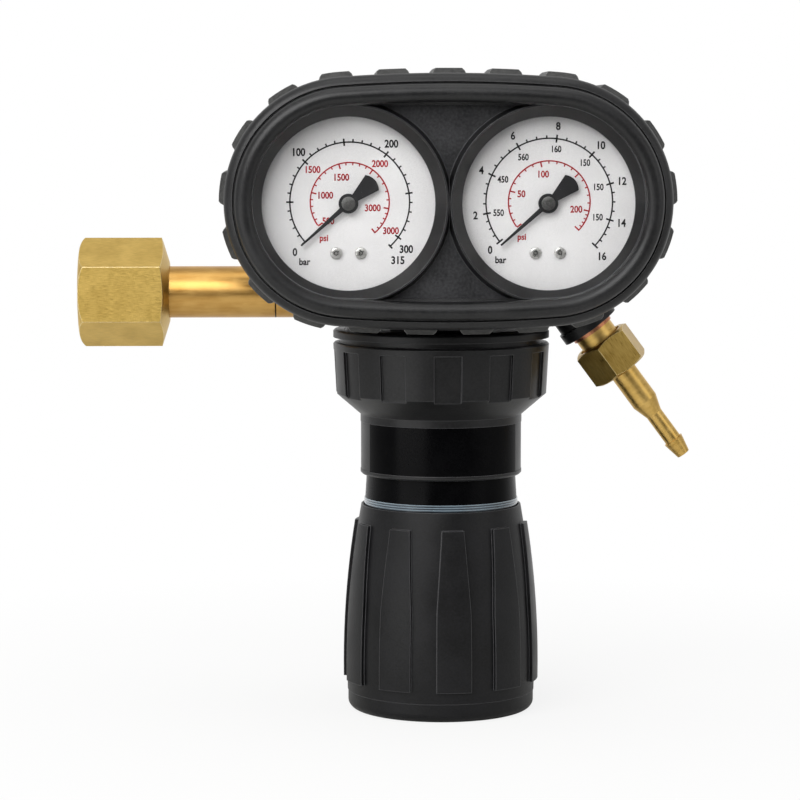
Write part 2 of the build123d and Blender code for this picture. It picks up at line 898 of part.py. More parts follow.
def knob_rib():
    """One raised rib, narrow at its top and flared below."""
    reach = knob_bottom_radius + 2 * rib_height + 2.0
    sections = []
    stations = [
        (rib_drop, rib_top_angle),
        (rib_flare_drop, rib_angle),
        (rib_drop + rib_length, rib_angle),
    ]
    for drop, angle in stations:
        half = reach * math.tan(math.radians(angle))
        outline = Polyline((0, 0), (reach, -half), (reach, half), close=True)
        sections.append(Pos(0, 0, knob_top - drop) * make_face(outline))
    return loft(sections, ruled=True)


def knob():
    """Hollow moulded knob with a skirt, ten ribs, a hub and five webs."""
    side = knob_solid(0)
    rib_shell = knob_solid(rib_height)
    wedges = []
    for i in range(rib_count):
        turn = -90 + rib_phase + i * 360 / rib_count
        wedges.append(Rot(0, 0, turn) * knob_rib())
    ribs = rib_shell & (wedges[0] + wedges[1:])
    shell = side + ribs
    skirt_bore = clear_ring_radius + soft_gap
    travel = knob_turns * thread_pitch
    neck_clear = neck_bottom - travel - 1.5
    inner_radius = knob_middle_radius - knob_wall
    hollow = turned([
        (0, knob_top),
        (skirt_bore, knob_top),
        (skirt_bore, knob_top - skirt_depth),
        (neck_lower_radius + 1.2, knob_top - skirt_depth - 1.5),
        (neck_lower_radius + 1.2, neck_clear),
        (inner_radius, neck_clear - 4.0),
        (inner_radius, knob_bottom),
        (0, knob_bottom),
    ])
    hub = rod(hub_radius, knob_bottom + cap_spigot + 1.0, neck_clear)
    webs = []
    for i in range(web_count):
        length = knob_middle_radius - 1.0
        top = knob_top - web_drop
        bottom = knob_bottom + cap_spigot + 1.0
        box = Box(length, web_thickness, top - bottom)
        web = Pos(length / 2, 0, (top + bottom) / 2) * box
        webs.append(Rot(0, 0, 90 + i * 360 / web_count) * web)
    screw_hole = rod(screw_radius, knob_bottom, knob_top)
    return on_axis * ((shell - hollow) + hub + webs - screw_hole)


def knob_cap():
    """End cap pushed into the knob's lower rim, with a rounded edge."""
    cap_bottom = knob_bottom - cap_thickness
    side_end = knob_bottom - cap_side_height
    round_side = ThreePointArc(
        (knob_bottom_radius - 0.2, side_end),
        (knob_bottom_radius - 1.0, side_end - (cap_thickness - cap_side_height) * 0.7),
        (cap_flat_radius, cap_bottom),
    )
    spigot_outer = knob_middle_radius - knob_wall
    spigot_inner = spigot_outer - cap_spigot_wall
    rest = Polyline(
        (cap_flat_radius, cap_bottom),
        (0, cap_bottom),
        (0, knob_bottom),
        (spigot_inner, knob_bottom),
        (spigot_inner, knob_bottom + cap_spigot),
        (spigot_outer, knob_bottom + cap_spigot),
        (spigot_outer, knob_bottom),
        (knob_bottom_radius - 0.2, knob_bottom),
        (knob_bottom_radius - 0.2, side_end),
    )
    return on_axis * revolve(Plane.XZ * make_face([round_side, rest]), axis=Axis.Z)


def bumper_section(radius):
    """Section of the bumper for an outline arc: back, crown, shoulder, groove and rim."""
    def at(inward, depth):
        return radius - inward, depth

    rim_start = shoulder_width + 0.7
    rim_side = bumper_front - rim_width / 2
    slope_end = rim_start + rim_width + inner_slope_width
    shoulder = ThreePointArc(
        at(0, shoulder_start),
        at(shoulder_width * 0.32, shoulder_start + (shoulder_top - shoulder_start) * 0.74),
        at(shoulder_width, shoulder_top),
    )
    groove = Polyline(
        at(shoulder_width, shoulder_top),
        at(shoulder_width + 0.35, shoulder_top - 1.2),
        at(rim_start, rim_side - rim_straight),
        at(rim_start, rim_side),
    )
    rim = ThreePointArc(
        at(rim_start, rim_side),
        at(rim_start + rim_width / 2, bumper_front),
        at(rim_start + rim_width, rim_side),
    )
    rest = Polyline(
        at(rim_start + rim_width, rim_side),
        at(rim_start + rim_width, rim_side - rim_straight),
        at(slope_end, panel_face + 1.0),
        at(ring_inner_offset, panel_face + 1.0),
        at(ring_inner_offset, bumper_back),
        at(2.0, bumper_back),
        at(0, bumper_back + 2.0),
        at(0, shoulder_start),
    )
    return make_face([shoulder, groove, rim, rest])


def tread_section(radius):
    """Section of the tread band, sloped at its front and back."""
    root = radius - 1.0
    crest = radius + tread_height
    return make_face(Polyline(
        (root, tread_back - 1.0),
        (crest, tread_back + 1.5),
        (crest, tread_front - tread_slope),
        (root, tread_front),
        close=True,
    ))


def bumper():
    """Rubber bumper with a half-round rim, tread blocks, a panel slot and gauge room."""
    body = racetrack_ring(bumper_section)
    tread_band = racetrack_ring(tread_section)
    prisms = []
    for i in range(tread_count):
        x, y, angle = outline_place(i / tread_count)
        outline = Polyline(
            (-tread_base / 2, -1.5),
            (tread_base / 2, -1.5),
            (tread_top / 2, tread_height - tread_corner),
            (tread_top / 2 - tread_corner, tread_height + 0.05),
            (-tread_top / 2 + tread_corner, tread_height + 0.05),
            (-tread_top / 2, tread_height - tread_corner),
            close=True,
        )
        block = extrude(make_face(outline), amount=bumper_front)
        prisms.append(Pos(x, y, 0) * Rot(0, 0, angle - 90) * block)
    treads = tread_band & (prisms[0] + prisms[1:])
    cuts = [
        slab(recess_end_radius, recess_half_height, panel_face - 0.1, bumper_front + 1.0),
        slab(
            recess_end_radius + slot_depth,
            recess_half_height + slot_depth,
            panel_face - panel_thickness,
            panel_face,
        ),
        slab(cavity_end_radius, cavity_half_height, case_back, panel_face - panel_thickness + 0.1),
        slab(rear_end_radius, rear_half_height, bumper_back - 1.0, case_back + 0.1),
    ]
    return bumper_plane * (body + treads - cuts)


def gauge_panel():
    """Moulded panel with two raised dial rings and collars round the gauge cases."""
    back = panel_face - panel_thickness
    plate = slab(recess_end_radius + slot_depth, recess_half_height + slot_depth, back, panel_face)
    ring_top_depth = panel_face + dial_ring_height
    clip = slab(
        recess_end_radius - face_gap,
        recess_half_height - face_gap,
        panel_face - 1.0,
        ring_top_depth + 1.0,
    )
    dial_ring = turned([
        (0, panel_face - 1.0),
        (dial_ring_foot, panel_face - 1.0),
        (dial_ring_foot, panel_face),
        (dial_ring_crest, ring_top_depth - 0.5),
        (dial_ring_crest - 0.4, ring_top_depth),
        (0, ring_top_depth),
    ])
    collar = rod(panel_collar_radius, back - panel_collar_depth, back)
    bore = window_radius + easy
    opening = turned([
        (0, back - panel_collar_depth - 1.0),
        (bore, back - panel_collar_depth - 1.0),
        (bore, window_front),
        (window_lip_radius, window_front),
        (dial_ring_lip, ring_top_depth),
        (dial_ring_lip, ring_top_depth + 1.0),
        (0, ring_top_depth + 1.0),
    ])
    places = [Pos(side * gauge_side, -gauge_drop, 0) for side in (-1, 1)]
    rings = [place * dial_ring for place in places]
    collars = [place * collar for place in places]
    openings = [place * opening for place in places]
    raised = (rings[0] + rings[1]) & clip
    return bumper_plane * (plate + raised + collars - openings)


def gauge_case():
    """Drawn steel cup with a hole for the socket."""
    inner = case_radius - case_wall
    cup = turned([
        (0, case_back),
        (case_radius - 1.2, case_back),
        (case_radius, case_back + 1.2),
        (case_radius, case_front),
        (inner, case_front),
        (inner, case_back + case_back_wall + 0.8),
        (inner - 0.8, case_back + case_back_wall),
        (0, case_back + case_back_wall),
    ])
    hole = rod(socket_neck_radius, case_back, case_back + case_back_wall, 0, -socket_drop)
    return cup - hole


def gauge_socket():
    """Brass socket: thread, hexagon, neck through the case and the tube block."""
    hex_top = ear_front + socket_hex_length
    inner = case_back + case_back_wall
    thread = rod(socket_thread_radius, ear_front - port_depth, ear_front)
    hexa = chamfered_hexagon(socket_hex_flats, ear_front, hex_top, 0.8)
    neck = rod(socket_neck_radius, hex_top, inner)
    block_height = socket_block_front - inner
    block = Pos(0, 0, inner + block_height / 2) * Box(socket_width, socket_width + 1.0, block_height)
    bore = rod(port_bore_radius, ear_front - port_depth, tube_middle)
    return Pos(0, -socket_drop, 0) * (thread + hexa + neck + block - bore)


def bourdon_tube():
    """Flattened C tube from the socket block round to its closed tip and lug."""
    inner_side = tube_radius - tube_half_thickness
    start_angle = -90 - math.degrees(math.asin(socket_width / 2 / inner_side))
    sweep_angle = start_angle + 360 - tube_tip_angle
    section = Pos(tube_radius, tube_middle) * Ellipse(tube_half_thickness, tube_half_width)
    tube = revolve(Plane.XZ * section, axis=Axis.Z, revolution_arc=sweep_angle)
    tube = Rot(0, 0, tube_tip_angle) * tube
    plug_back = tube_middle - tube_half_width
    plug_height = lug_front - plug_back
    plug = Pos(tube_radius, 0, plug_back + plug_height / 2) * Box(3.4, 3.0, plug_height)
    pin = rod(link_pin_radius, lug_front, link_level - 0.1, tube_radius)
    return tube + Rot(0, 0, tube_tip_angle) * (plug + pin)


def movement_frame():
    """Two plates on pillars, standing on the socket block and carrying the dial."""
    front_plate_top = frame_front + frame_plate
    dial_back = dial_front - dial_thickness
    reach = socket_drop + 5.0
    outline = Pos(0, (5.8 - reach) / 2) * RectangleRounded(frame_width, reach + 5.8, 3.0)
    plates = [Pos(0, 0, level) * extrude(outline, amount=frame_plate) for level in (frame_back, frame_front)]
    pillars = []
    for x, y in ((0.0, top_pillar_height), (-pillar_side, -pillar_drop), (pillar_side, -pillar_drop)):
        pillars.append(rod(pillar_radius, frame_back, front_plate_top, x, y))
    for side in (-1, 1):
        pillars.append(rod(
            dial_post_radius, frame_front, dial_back, side * dial_post_half_spacing, -dial_post_drop
        ))
    hole = arbor_radius + running
    holes = [
        rod(hole, frame_back, front_plate_top, 0, 0),
        rod(hole, frame_back, front_plate_top, 0, -sector_pivot_drop),
    ]
    return plates[0] + plates[1] + pillars - holes


def involute_flank(teeth, addendum, dedendum):
    """Half-tooth flank as (radius, angle) pairs from root to tip, angle in radians."""
    pitch_radius = gear_module * teeth / 2
    base_radius = pitch_radius * math.cos(math.radians(pressure_angle))
    outer = pitch_radius + addendum
    root = pitch_radius - dedendum
    tooth_angle = (math.pi / 2 - gear_backlash / gear_module / 2) / teeth

    def involute(radius):
        if radius <= base_radius:
            return 0.0
        lean = math.acos(base_radius / radius)
        return math.tan(lean) - lean

    reference = involute(pitch_radius)
    low = max(root, base_radius)
    flank = [(root, tooth_angle + reference - involute(low))]
    for i in range(4):
        radius = low + (outer - low) * i / 3
        flank.append((radius, tooth_angle + reference - involute(radius)))
    return flank


def gear_points(teeth, first, last, addendum, dedendum):
    """Outline points of the teeth numbered first to last, tooth 0 centred on angle 0."""
    flank = involute_flank(teeth, addendum, dedendum)
    points = []
    for tooth in range(first, last + 1):
        centre = 2 * math.pi * tooth / teeth
        for radius, half in flank:
            points.append((radius * math.cos(centre - half), radius * math.sin(centre - half)))
        for radius, half in reversed(flank):
            points.append((radius * math.cos(centre + half), radius * math.sin(centre + half)))
    cleaned = [points[0]]
    for point in points[1:]:
        if math.dist(point, cleaned[-1]) > 1e-4:
            cleaned.append(point)
    return cleaned


def sector_gear():
    """Toothed sector with a hub, an arbor and the tail arm that the link drives."""
    teeth_span = math.ceil(sector_travel / (360 / sector_full_teeth)) + 2 * sector_margin_teeth
    points = gear_points(
        sector_full_teeth, -teeth_span + sector_margin_teeth, sector_margin_teeth,
        0.8 * gear_module, 1.1 * gear_module,
    )
    root = points[0]
    inner_radius = gear_module * sector_full_teeth / 2 - 2.4
    start = math.atan2(points[0][1], points[0][0])
    end = math.atan2(points[-1][1], points[-1][0])
    middle = (start + end) / 2
    inner = [
        (inner_radius * math.cos(a), inner_radius * math.sin(a))
        for a in (end, middle, start)
    ]
    rim = make_face([
        Polyline(inner[2], root, *points[1:], inner[0]),
        ThreePointArc(inner[0], inner[1], inner[2]),
    ])
    spoke = Rot(0, 0, math.degrees(middle)) * Pos(inner_radius / 2, 0) * Rectangle(inner_radius + 2.0, 2.6)
    plan = rim + spoke + Circle(sector_hub_radius)
    plan = Rot(0, 0, 90) * plan
    arm_outline = Pos(tail_arm_length / 2, 0) * SlotCenterToCenter(tail_arm_length, 2.4)
    plan = plan + Rot(0, 0, tail_arm_angle) * arm_outline
    hole_place = Rot(0, 0, tail_arm_angle) * Pos(tail_arm_length, 0)
    plan = plan - hole_place * Circle(link_pin_radius + running)
    plate = Pos(0, 0, sector_level) * extrude(plan, amount=gear_thickness)
    arbor = rod(arbor_radius, frame_back + 0.1, frame_front + frame_plate - 0.1)
    return Pos(0, -sector_pivot_drop, 0) * (plate + arbor)


def pinion():
    """Pinion on the pointer shaft, from the back plate through the dial."""
    mesh_turn = -90 + 180 / pinion_teeth
    points = gear_points(pinion_teeth, 0, pinion_teeth - 1, 0.85 * gear_module, 1.1 * gear_module)
    outline = Rot(0, 0, mesh_turn) * make_face(Polyline(*points, close=True))
    gear = Pos(0, 0, sector_level - 0.3) * extrude(outline, amount=gear_thickness + 0.6)
    shaft_top = pointer_front - pointer_thickness
    return gear + rod(arbor_radius, frame_back + 0.1, shaft_top)


def link():
    """Flat link from the sector's tail arm to the tube's tip."""
    arm = math.radians(tail_arm_angle)
    start = (tail_arm_length * math.cos(arm), tail_arm_length * math.sin(arm) - sector_pivot_drop)
    tip = math.radians(tube_tip_angle)
    end = (tube_radius * math.cos(tip), tube_radius * math.sin(tip))
    length = math.dist(start, end)
    lean = math.degrees(math.atan2(end[1] - start[1], end[0] - start[0]))
    bar = extrude(Pos(length / 2, 0) * SlotCenterToCenter(length, link_width), amount=link_thickness)
    eye = rod(link_pin_radius + running, 0, link_thickness, length)
    pin = rod(link_pin_radius, link_thickness, sector_level + gear_thickness - link_level + 0.3)
    return Pos(start[0], start[1], link_level) * Rot(0, 0, lean) * (bar - eye + pin)


def dial():
    """Thin dial disc with a hole for the pointer shaft."""
    return ring(dial_hole_radius, dial_radius, dial_front - dial_thickness, dial_front)


def window():
    """Clear window held under the dial ring's lip."""
    return rod(window_radius, case_front, window_front)


def pointer():
    """Pointer with a round hub, a tapering needle and a fan tail."""
    needle = make_face(Polyline(
        (0, -pointer_root_width / 2),
        (pointer_length, -pointer_tip_width / 2),
        (pointer_length, pointer_tip_width / 2),
        (0, pointer_root_width / 2),
        close=True,
    ))
    fan = make_face([
        Polyline(
            (-tail_length, tail_width / 2),
            (-pointer_hub_radius + 0.6, tail_neck_width / 2),
            (-pointer_hub_radius + 0.6, -tail_neck_width / 2),
            (-tail_length, -tail_width / 2),
        ),
        ThreePointArc(
            (-tail_length, tail_width / 2),
            (-tail_length - 1.3, 0),
            (-tail_length, -tail_width / 2),
        ),
    ])
    bottom = pointer_front - pointer_thickness
    blade = Pos(0, 0, bottom) * extrude(needle + fan, amount=pointer_thickness)
    hub_bottom = pointer_front - pointer_hub_height
    hub = rod(pointer_hub_radius, hub_bottom, pointer_front + 0.25)
    shaft_hole = rod(arbor_radius, hub_bottom - 1.0, bottom)
    return Rot(0, 0, zero_angle) * (blade + hub - shaft_hole)


def outlet_collar():
    """Black ring under the copper washer."""
    start = boss_end()
    shape = ring(adapter_spigot_radius, outlet_collar_radius, start, start + outlet_collar_length)
    return outlet_plane * shape


def copper_washer():
    """Sealing washer between the collar and the adapter."""
    start = boss_end() + outlet_collar_length
    return outlet_plane * ring(adapter_spigot_radius, copper_radius, start, start + copper_length)


def outlet_adapter():
    """Adapter screwed into the boss, with a thread for the union nut and a cone seat."""
    neck_start = -adapter_neck_length
    shape = turned([
        (adapter_bore_radius, spigot_start()),
        (adapter_spigot_radius, spigot_start()),
        (adapter_spigot_radius, neck_start),
        (adapter_neck_radius, neck_start),
        (adapter_neck_radius, 0.4),
        (adapter_thread_radius, 1.2),
        (adapter_thread_radius, adapter_thread_end - 0.6),
        (adapter_thread_radius - 0.6, adapter_thread_end),
        (cone_mouth_radius, adapter_thread_end),
        (adapter_bore_radius, adapter_thread_end - cone_depth),
    ])
    return outlet_plane * shape


def outlet_nut():
    """Union nut that pulls the hose tail's collar against the adapter."""
    collar_start = adapter_thread_end + soft_gap
    shoulder = collar_start + tail_collar_length + face_gap
    blank = chamfered_hexagon(
        outlet_nut_flats, 0, outlet_nut_length, outlet_nut_chamfer, outlet_nut_rest_angle
    )
    bore = turned([
        (0, 0),
        (adapter_thread_radius + running, 0),
        (adapter_thread_radius + running, shoulder),
        (shank_radius + running, shoulder),
        (shank_radius + running, outlet_nut_length),
        (0, outlet_nut_length),
    ])
    return outlet_plane * (blank - bore)


def hose_tail():
    """Turned hose tail: cone nose, collar, shank, stem and barb."""
    collar_start = adapter_thread_end + soft_gap
    nose_start = adapter_thread_end - cone_depth + 0.6
    nose_radius = adapter_bore_radius - 0.1
    shape = turned([
        (tail_bore_radius, nose_start),
        (nose_radius, nose_start),
        (cone_mouth_radius - 0.35, adapter_thread_end),
        (cone_mouth_radius - 0.35, collar_start),
        (tail_collar_radius, collar_start),
        (tail_collar_radius, collar_start + tail_collar_length),
        (shank_radius, collar_start + tail_collar_length),
        (shank_radius, shank_end),
        (stem_radius, taper_end),
        (stem_radius, stem_end),
        (barb_radius, stem_end),
        (barb_tip_radius, barb_end),
        (tail_bore_radius, barb_end),
    ])
    return outlet_plane * shape


def save(shape, name):
    """Write one node."""
    export_step(Compound(shape.solids()) if len(shape.solids()) > 1 else shape.solids()[0],
                "parts/" + name + ".step")


nodes = {
    "inlet_nut": inlet_nut,
    "inlet_nipple": inlet_nipple,
    "inlet_seal": inlet_seal,
    "inlet_filter": inlet_filter,
    "regulator_body": regulator_body,
    "body_collar": body_collar,
    "bonnet": bonnet,
    "label_band": label_band,
    "gas_ring": gas_ring,
    "clear_ring": clear_ring,
    "screw_bush": screw_bush,
    "valve_seat": valve_seat,
    "valve_cap": valve_cap,
    "poppet": poppet,
    "return_spring": return_spring,
    "diaphragm": diaphragm,
    "slip_washer": slip_washer,
    "diaphragm_plate": diaphragm_plate,
    "stud_nut": stud_nut,
    "push_pin": push_pin,
    "main_spring": main_spring,
    "spring_button": spring_button,
    "adjusting_screw": adjusting_screw,
    "knob": knob,
    "knob_cap": knob_cap,
    "bumper": bumper,
    "gauge_panel": gauge_panel,
    "outlet_collar": outlet_collar,
    "copper_washer": copper_washer,
    "outlet_adapter": outlet_adapter,
    "outlet_nut": outlet_nut,
    "hose_tail": hose_tail,
}
gauge_nodes = {
    "case": gauge_case,
    "socket": gauge_socket,
    "bourdon_tube": bourdon_tube,
    "movement_frame": movement_frame,
    "sector_gear": sector_gear,
    "pinion": pinion,
    "link": link,
    "dial": dial,
    "window": window,
    "pointer": pointer,
}

for name, build in nodes.items():
    save(build(), name)

for prefix, side in (("inlet_gauge", -1), ("outlet_gauge", 1)):
    place = Plane(
        origin=(axis_x + side * gauge_side, 0, gauge_height),
        x_dir=(1, 0, 0),
        z_dir=(0, -1, 0),
    )
    for name, build in gauge_nodes.items():
        save(place * build(), prefix + "_" + name)
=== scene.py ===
import bmesh
import bpy
import math
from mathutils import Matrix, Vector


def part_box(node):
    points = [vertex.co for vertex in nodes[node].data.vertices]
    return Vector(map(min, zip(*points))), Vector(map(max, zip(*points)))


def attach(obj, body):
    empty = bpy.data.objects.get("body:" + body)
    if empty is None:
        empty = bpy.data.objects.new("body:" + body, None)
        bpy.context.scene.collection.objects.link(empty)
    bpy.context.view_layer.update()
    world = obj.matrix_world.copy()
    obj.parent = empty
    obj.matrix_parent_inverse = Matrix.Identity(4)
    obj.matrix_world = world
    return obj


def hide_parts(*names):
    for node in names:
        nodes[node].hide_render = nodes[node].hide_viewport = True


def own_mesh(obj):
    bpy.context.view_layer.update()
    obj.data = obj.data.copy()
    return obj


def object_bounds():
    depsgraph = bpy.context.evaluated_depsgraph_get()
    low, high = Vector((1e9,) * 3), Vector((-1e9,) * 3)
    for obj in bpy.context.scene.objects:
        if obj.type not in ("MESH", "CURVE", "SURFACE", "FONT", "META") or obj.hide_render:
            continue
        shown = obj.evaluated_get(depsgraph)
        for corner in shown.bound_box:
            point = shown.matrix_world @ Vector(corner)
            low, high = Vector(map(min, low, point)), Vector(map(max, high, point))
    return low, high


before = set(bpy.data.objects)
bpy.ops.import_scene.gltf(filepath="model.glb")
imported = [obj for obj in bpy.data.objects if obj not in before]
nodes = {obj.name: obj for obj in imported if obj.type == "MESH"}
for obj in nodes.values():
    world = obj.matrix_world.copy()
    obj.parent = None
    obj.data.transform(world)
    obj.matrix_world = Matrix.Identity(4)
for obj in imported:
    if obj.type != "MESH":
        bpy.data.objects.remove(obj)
cad_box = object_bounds()
mm = 0.001


# Inlet nut
# Union nut milled from hexagon brass bar, with fine tool marks along its flats.
# It is left bare and spins on the nipple behind the collar.
def linear(colour):
    """Linear RGBA of an sRGB hex colour."""
    channels = [int(colour[i:i + 2], 16) / 255 for i in (1, 3, 5)]
    straight = [c / 12.92 if c <= 0.04045 else ((c + 0.055) / 1.055) ** 2.4 for c in channels]
    return (*straight, 1.0)


def add(tree, kind, inputs=None, stops=None, **settings):
    """One node with its settings; an input takes a value or another node's output."""
    made = tree.nodes.new("ShaderNode" + kind)
    for name, value in settings.items():
        setattr(made, name, value)
    for name, value in (inputs or {}).items():
        if isinstance(value, bpy.types.NodeSocket):
            tree.links.new(value, made.inputs[name])
        else:
            made.inputs[name].default_value = value
    for place, colour in (stops or [])[2:]:
        made.color_ramp.elements.new(place)
    for element, (place, colour) in zip(made.color_ramp.elements if stops else [], stops or []):
        element.position = place
        element.color = colour
    return made


def new_material(name):
    """Empty node material and its tree."""
    material = bpy.data.materials.new(name)
    material.use_nodes = True
    material.node_tree.nodes.clear()
    return material, material.node_tree


def finish_material(material, tree, shader):
    """Joins a shader to the material's output."""
    add(tree, "OutputMaterial", {"Surface": shader})
    return material


def paint_edge_highlight(tree, rounded, colour, worn, least):
    """Colour with a painted highlight, paler where the rounded normal leaves the true one."""
    # Painted highlight: where the rounded normal turns from the true one, the colour is mixed towards a
    # paler one.
    alike = add(tree, "VectorMath", {
        0: rounded, 1: add(tree, "NewGeometry").outputs["Normal"],
    }, operation="DOT_PRODUCT")
    highlight_share = add(tree, "MapRange", {
        "Value": alike.outputs["Value"], "From Min": 0.995, "From Max": least,
        "To Min": 0.0, "To Max": 0.9,
    })
    edged = add(tree, "MixRGB", {"Fac": highlight_share.outputs["Result"], "Color1": colour, "Color2": worn})
    return edged.outputs["Color"]


def metal_shader(
    tree, dark, light, rough, grain_mm, bump, turn=(0, 0, 0), edge=0.3, worn=None, pit_mm=0.0
):
    """Bare metal with a grain in millimetres along each axis, painted edge highlights and painted shade
    in pits.
    """
    cloud_size = 9 * mm
    grain_depth = 0.05 * mm
    place = add(tree, "TexCoord").outputs["Object"]
    grain_scale = tuple(1 / (g * mm) for g in grain_mm)
    turned = add(tree, "VectorRotate", {"Vector": place, "Rotation": turn}, rotation_type="EULER_XYZ")
    laid = add(tree, "Mapping", {"Vector": turned.outputs["Vector"], "Scale": grain_scale})
    grain = add(tree, "TexNoise", {"Vector": laid.outputs["Vector"], "Scale": 1.0, "Detail": 3.0})
    cloud = add(tree, "TexNoise", {"Vector": place, "Scale": 1 / cloud_size, "Detail": 2.0})
    blend = add(tree, "Math", {0: grain.outputs["Fac"], 1: cloud.outputs["Fac"]}, operation="ADD")
    half = add(tree, "Math", {0: blend.outputs[0], 1: 0.5}, operation="MULTIPLY")
    colour = add(tree, "ValToRGB", {"Fac": half.outputs[0]}, stops=[(0.36, dark), (0.62, light)])
    shine = add(tree, "MapRange", {
        "Value": grain.outputs["Fac"], "From Min": 0.3, "From Max": 0.7,
        "To Min": rough - 0.07, "To Max": rough + 0.07,
    })
    rounded = add(tree, "Bevel", {"Radius": edge * mm}, samples=4)
    relief = add(tree, "Bump", {
        "Height": grain.outputs["Fac"], "Strength": bump, "Distance": grain_depth,
        "Normal": rounded.outputs["Normal"],
    })
    shown = paint_edge_highlight(tree, rounded.outputs["Normal"], colour.outputs["Color"], worn or light, 0.9)
    if pit_mm:
        # Painted shade: within this depth of a recess the colour goes towards near black, standing in
        # for shade.
        open_air = add(tree, "AmbientOcclusion", {"Distance": pit_mm * mm}, samples=8)
        pit = add(tree, "MapRange", {"Value": open_air.outputs["AO"], "From Min": 0.45, "From Max": 0.8})
        shown = add(tree, "MixRGB", {
            "Fac": pit.outputs["Result"], "Color1": linear("#0a0a0a"), "Color2": shown,
        }).outputs["Color"]
    shader = add(tree, "BsdfPrincipled", {
        "Base Color": shown, "Metallic": 1.0, "Roughness": shine.outputs["Result"],
        "Normal": relief.outputs["Normal"],
    })
    return shader.outputs["BSDF"]


def metal(name, **look):
    """Material of one bare metal."""
    material, tree = new_material(name)
    return finish_material(material, tree, metal_shader(tree, **look))


def dress(material, *names):
    """Gives CAD nodes a material."""
    for name in names:
        nodes[name].data.materials.clear()
        nodes[name].data.materials.append(material)


def settle(obj, name, material, body):
    """Names a finished piece, applies its place and hangs it on a body."""
    bpy.ops.object.select_all(action="DESELECT")
    obj.select_set(True)
    bpy.context.view_layer.objects.active = obj
    bpy.ops.object.transform_apply(location=True, rotation=True, scale=True)
    obj.name = name
    obj.data.name = name
    obj.data.materials.clear()
    obj.data.materials.append(material)
    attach(obj, body)
    return obj


# Pale yellow flats with dull strokes two millimetres long along the bar, and painted highlights
# where the flats meet.
milled_brass = metal(
    "Milled brass", dark=linear("#c0a053"), light=linear("#dbba69"), rough=0.42,
    grain_mm=(2.0, 0.25, 0.25), bump=0.4, edge=0.3, worn=linear("#fff4cc"),
)
dress(milled_brass, "inlet_nut")

# Right-hand gas thread in the nut's mouth, 14 turns to the inch. One tooth is a triangle that
# points at the axis, and a screw modifier sweeps it along the bore.
thread_pitch = 1.814 * mm
thread_turns = 5
thread_start = 0.45 * mm
thread_middle = 10.55 * mm
thread_tooth = 0.78 * mm
steps_per_turn = 48
weld = 0.001 * mm
bpy.ops.object.select_all(action="DESELECT")
bpy.ops.mesh.primitive_circle_add(
    vertices=3, radius=thread_tooth, location=(thread_middle, 0, 0), rotation=(math.radians(90), 0, 0)
)
nut_thread = bpy.context.object
bpy.ops.object.transform_apply(location=True, rotation=True, scale=True)
bpy.ops.object.mode_set(mode="EDIT")
bpy.ops.mesh.select_all(action="SELECT")
bpy.ops.transform.rotate(
    value=math.radians(-90), orient_axis="Y", center_override=(thread_middle, 0, 0)
)
bpy.ops.object.mode_set(mode="OBJECT")
coil = nut_thread.modifiers.new("Coil", "SCREW")
coil.screw_offset = thread_pitch
coil.iterations = thread_turns
coil.steps = coil.render_steps = steps_per_turn
bpy.ops.object.modifier_apply(modifier="Coil")
bpy.ops.object.mode_set(mode="EDIT")
bpy.ops.mesh.select_all(action="SELECT")
bpy.ops.mesh.remove_doubles(threshold=weld)
bpy.ops.mesh.select_all(action="DESELECT")
bpy.ops.mesh.select_non_manifold()
bpy.ops.mesh.fill_holes(sides=4)
bpy.ops.mesh.select_all(action="SELECT")
bpy.ops.mesh.normals_make_consistent(inside=False)
bpy.ops.object.mode_set(mode="OBJECT")
nut_thread.rotation_euler = (0, math.radians(90), 0)
nut_thread.location = (thread_start, 0, 0)
settle(nut_thread, "inlet_nut_thread", milled_brass, "inlet_nut")

# Inlet nipple, its seal and filter
# Tube turned from brass bar and polished, so that it mirrors the room in long streaks.
# A flat rubber-bound seal is pressed in its tip and a sintered bronze thimble in its bore.

# Warm orange-yellow with a bright streak from the lamp and faint clouds along the tube.
polished_look = {
    "dark": linear("#b68a48"), "light": linear("#cfa560"), "rough": 0.36,
    "grain_mm": (7.0, 1.6, 1.6), "bump": 0.04,
}
polished_brass = metal("Turned and polished brass", **polished_look, edge=0.2)
dress(polished_brass, "inlet_nipple")


def moulded_shader(tree, dark, light, rough, grain_mm, bump, edge, specular=0.3, worn=None):
    """Plastic, rubber or paint with an even grain in millimetres and a painted highlight along edges."""
    cloud_size = 14 * mm
    grain_depth = 0.12 * mm
    place = add(tree, "TexCoord").outputs["Object"]
    grain = add(tree, "TexNoise", {"Vector": place, "Scale": 1 / (grain_mm * mm), "Detail": 3.0})
    cloud = add(tree, "TexNoise", {"Vector": place, "Scale": 1 / cloud_size, "Detail": 3.0})
    blend = add(tree, "Math", {0: grain.outputs["Fac"], 1: cloud.outputs["Fac"]}, operation="ADD")
    half = add(tree, "Math", {0: blend.outputs[0], 1: 0.5}, operation="MULTIPLY")
    colour = add(tree, "ValToRGB", {"Fac": half.outputs[0]}, stops=[(0.38, dark), (0.62, light)])
    shine = add(tree, "MapRange", {
        "Value": cloud.outputs["Fac"], "From Min": 0.3, "From Max": 0.7,
        "To Min": rough - 0.05, "To Max": rough + 0.05,
    })
    rounded = add(tree, "Bevel", {"Radius": edge * mm}, samples=6)
    relief = add(tree, "Bump", {
        "Height": grain.outputs["Fac"], "Strength": bump, "Distance": grain_depth,
        "Normal": rounded.outputs["Normal"],
    })
    shown = paint_edge_highlight(tree, rounded.outputs["Normal"], colour.outputs["Color"], worn or light, 0.85)
    shader = add(tree, "BsdfPrincipled", {
        "Base Color": shown, "Roughness": shine.outputs["Result"],
        "Specular IOR Level": specular, "Normal": relief.outputs["Normal"],
    })
    return shader.outputs["BSDF"]


def moulded(name, **look):
    """Material of one plastic, rubber or paint."""
    material, tree = new_material(name)
    return finish_material(material, tree, moulded_shader(tree, **look))


